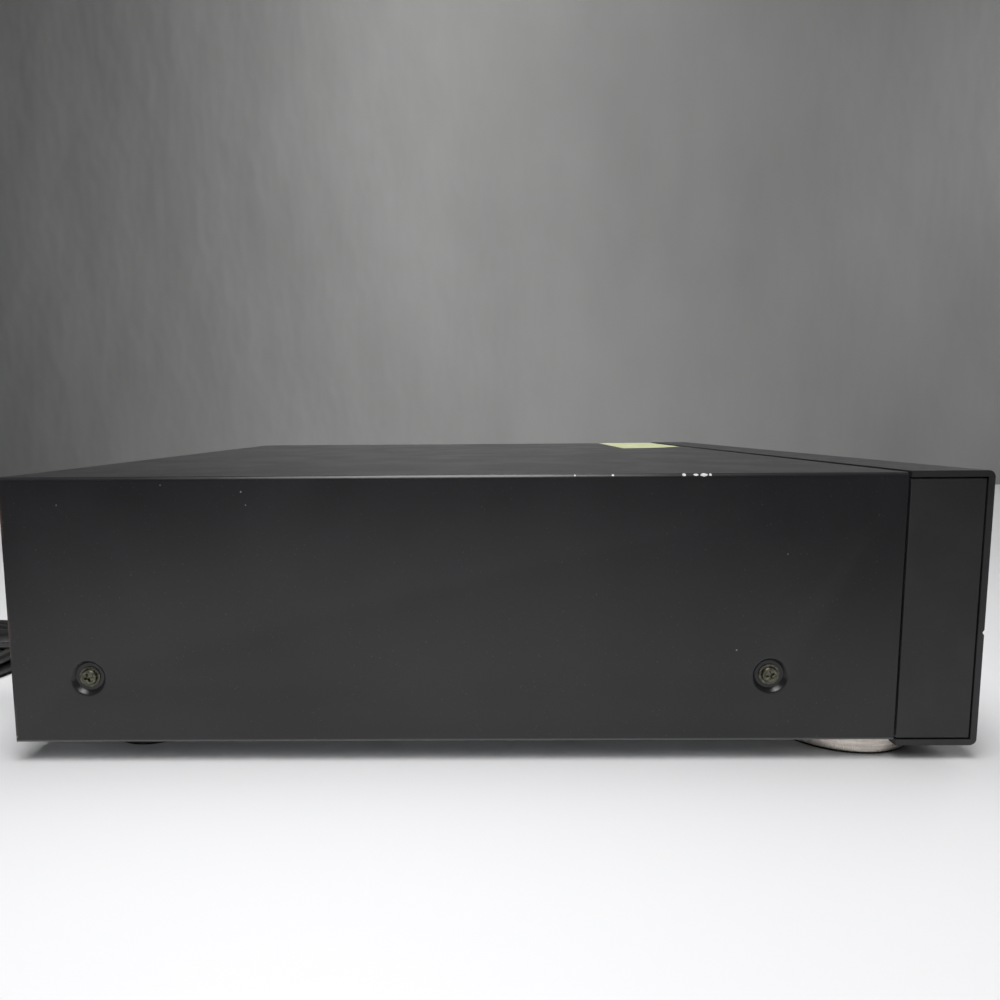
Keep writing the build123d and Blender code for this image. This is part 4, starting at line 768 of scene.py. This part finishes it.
drop = [
    BUSHING_END,
    BUSHING_END + Vector((0, 18, 0)) * MM,
    BUSHING_END + Vector((-1, 36, -7)) * MM,
    BUSHING_END + Vector((-3, 54, -19.5)) * MM,
    Vector((COIL_CENTRE[0] - COIL_RADIUS + 0.3 * MM, BUSHING_END.y + 72 * MM, LOW + 4.1 * MM)),
    Vector((COIL_CENTRE[0] - COIL_RADIUS, COIL_CENTRE[1] - 16 * MM, LOW)),
]


def coil_points():
    """Half turns that spiral in, climb a layer and spiral out."""
    inward = [COIL_RADIUS - step * COIL_PITCH / 2 for step in range(2 * COIL_TURNS)]
    halves = [(radius, LOW, LOW) for radius in inward]
    halves.append((COIL_RADIUS - COIL_TURNS * COIL_PITCH, LOW, HIGH))
    halves += [(radius, HIGH, HIGH) for radius in reversed(inward)]
    here, side, points = COIL_CENTRE[0] - COIL_RADIUS, 1, []
    for radius, low, high in halves:
        middle = here + side * radius
        for step in range(STEPS // 2):
            turn = pi * step / (STEPS // 2)
            rise = (1 - cos(turn)) / 2
            along = middle - side * radius * cos(turn)
            behind = COIL_CENTRE[1] + side * radius * sin(turn)
            points.append(Vector((along, behind, low + rise * (high - low))))
        here += side * 2 * radius
        side = -side
    return points, here


turns, coil_exit = coil_points()
tail_drop = [(0, HIGH), (15, HIGH), (33, PLUG_HEIGHT + 2.4 * MM), (50, PLUG_HEIGHT), (64, PLUG_HEIGHT)]
tail = [Vector((coil_exit, COIL_CENTRE[1] - along * MM, height)) for along, height in tail_drop]
route = drop + turns + tail

cord_curve = bpy.data.curves.new("mains_cord", "CURVE")
cord_curve.dimensions = "3D"
cord_curve.bevel_depth = CORD_DIAMETER / 2
cord_curve.bevel_resolution = 6
cord_curve.resolution_u = 4
cord_curve.use_fill_caps = True
spline = cord_curve.splines.new("NURBS")
spline.points.add(len(route) - 1)
for control, point in zip(spline.points, route):
    control.co = (*point, 1)
spline.order_u = 3
spline.use_endpoint_u = True
cord = bpy.data.objects.new("mains_cord_curve", cord_curve)
bpy.context.scene.collection.objects.link(cord)
cord_curve.materials.append(finishes["cord_rubber"])
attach(cord, "case")
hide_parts("mains_cord", "mains_cord_coil")
print("cord of", len(route), "points")

# %% [markdown]
# ## The stage
#
# A pale table and a grey cloth backdrop stand in for the studio. The table's
# reflection lifts the lower half of the black side. A long lamp hangs over the
# table on the camera's side and is aimed at the foot of the case. A second one
# lights the backdrop, and a third faces the front panel.

# %% Table, backdrop and light
TABLE_SIZE = 6.0
BACKDROP_SIZE = 4.0
BACKDROP_PLACE = (1.15, 0, 1.2)


def flat_plane(name, size, colour, roughness):
    work = bmesh.new()
    bmesh.ops.create_grid(work, x_segments=1, y_segments=1, size=size / 2)
    mesh = bpy.data.meshes.new(name)
    work.to_mesh(mesh)
    work.free()
    plane = bpy.data.objects.new(name, mesh)
    bpy.context.scene.collection.objects.link(plane)
    material, shader = new_finish(name, colour, roughness)
    mesh.materials.append(material)
    return plane, material, shader


table_material, table_shader = flat_plane("table", TABLE_SIZE, (0.80, 0.80, 0.81), 0.5)[1:]
table_clouds = noise(table_material, 0.4, 3.0)
table_tone = blend_colour(table_material, table_clouds, (0.78, 0.78, 0.79), (0.83, 0.83, 0.84))
link(table_material, table_tone, table_shader.inputs["Base Color"])

backdrop, backdrop_material, backdrop_shader = flat_plane("backdrop", BACKDROP_SIZE, (0.30, 0.30, 0.295), 0.9)
cloth_folds = noise(backdrop_material, 0.45, 4.0, (1.0, 1.5, 0.7))
cloth_mask = between(backdrop_material, cloth_folds, 0.3, 0.7)
cloth_tone = blend_colour(backdrop_material, cloth_mask, (0.285, 0.285, 0.28), (0.325, 0.325, 0.32))
link(backdrop_material, cloth_tone, backdrop_shader.inputs["Base Color"])
add_bump(backdrop_material, backdrop_shader, cloth_folds, 0.022)
backdrop.data.transform(Matrix.Translation(BACKDROP_PLACE) @ Matrix.Rotation(radians(90), 4, "Y"))


def soft_light(name, place, target, size, power, spread=180):
    lamp = bpy.data.lights.new(name, "AREA")
    lamp.spread = radians(spread)
    lamp.shape = "RECTANGLE"
    lamp.size, lamp.size_y = size
    lamp.energy = power
    holder = bpy.data.objects.new(name, lamp)
    holder.location = place
    holder.rotation_euler = (Vector(target) - Vector(place)).to_track_quat("-Z", "Y").to_euler()
    holder.visible_camera = False
    bpy.context.scene.collection.objects.link(holder)
    return holder


soft_light("overhead", (-0.50, 0.1, 0.95), (-0.22, 0.1, 0), (0.5, 3.0), 5.9, 84)
soft_light("backdrop_light", (0.45, 0.0, 1.5), (1.15, 0, 0.55), (0.4, 2.6), 14.5)
soft_light("front_fill", (0.5, -1.7, 0.9), (0, 0, 0.05), (1.6, 0.8), 9)
world = bpy.data.worlds.new("studio")
bpy.context.scene.world = world
world.use_nodes = True
world.node_tree.nodes["Background"].inputs["Color"].default_value = (0.70, 0.71, 0.74, 1)
world.node_tree.nodes["Background"].inputs["Strength"].default_value = 0.07
bpy.context.scene.view_settings.view_transform = "Standard"
print("stage set")
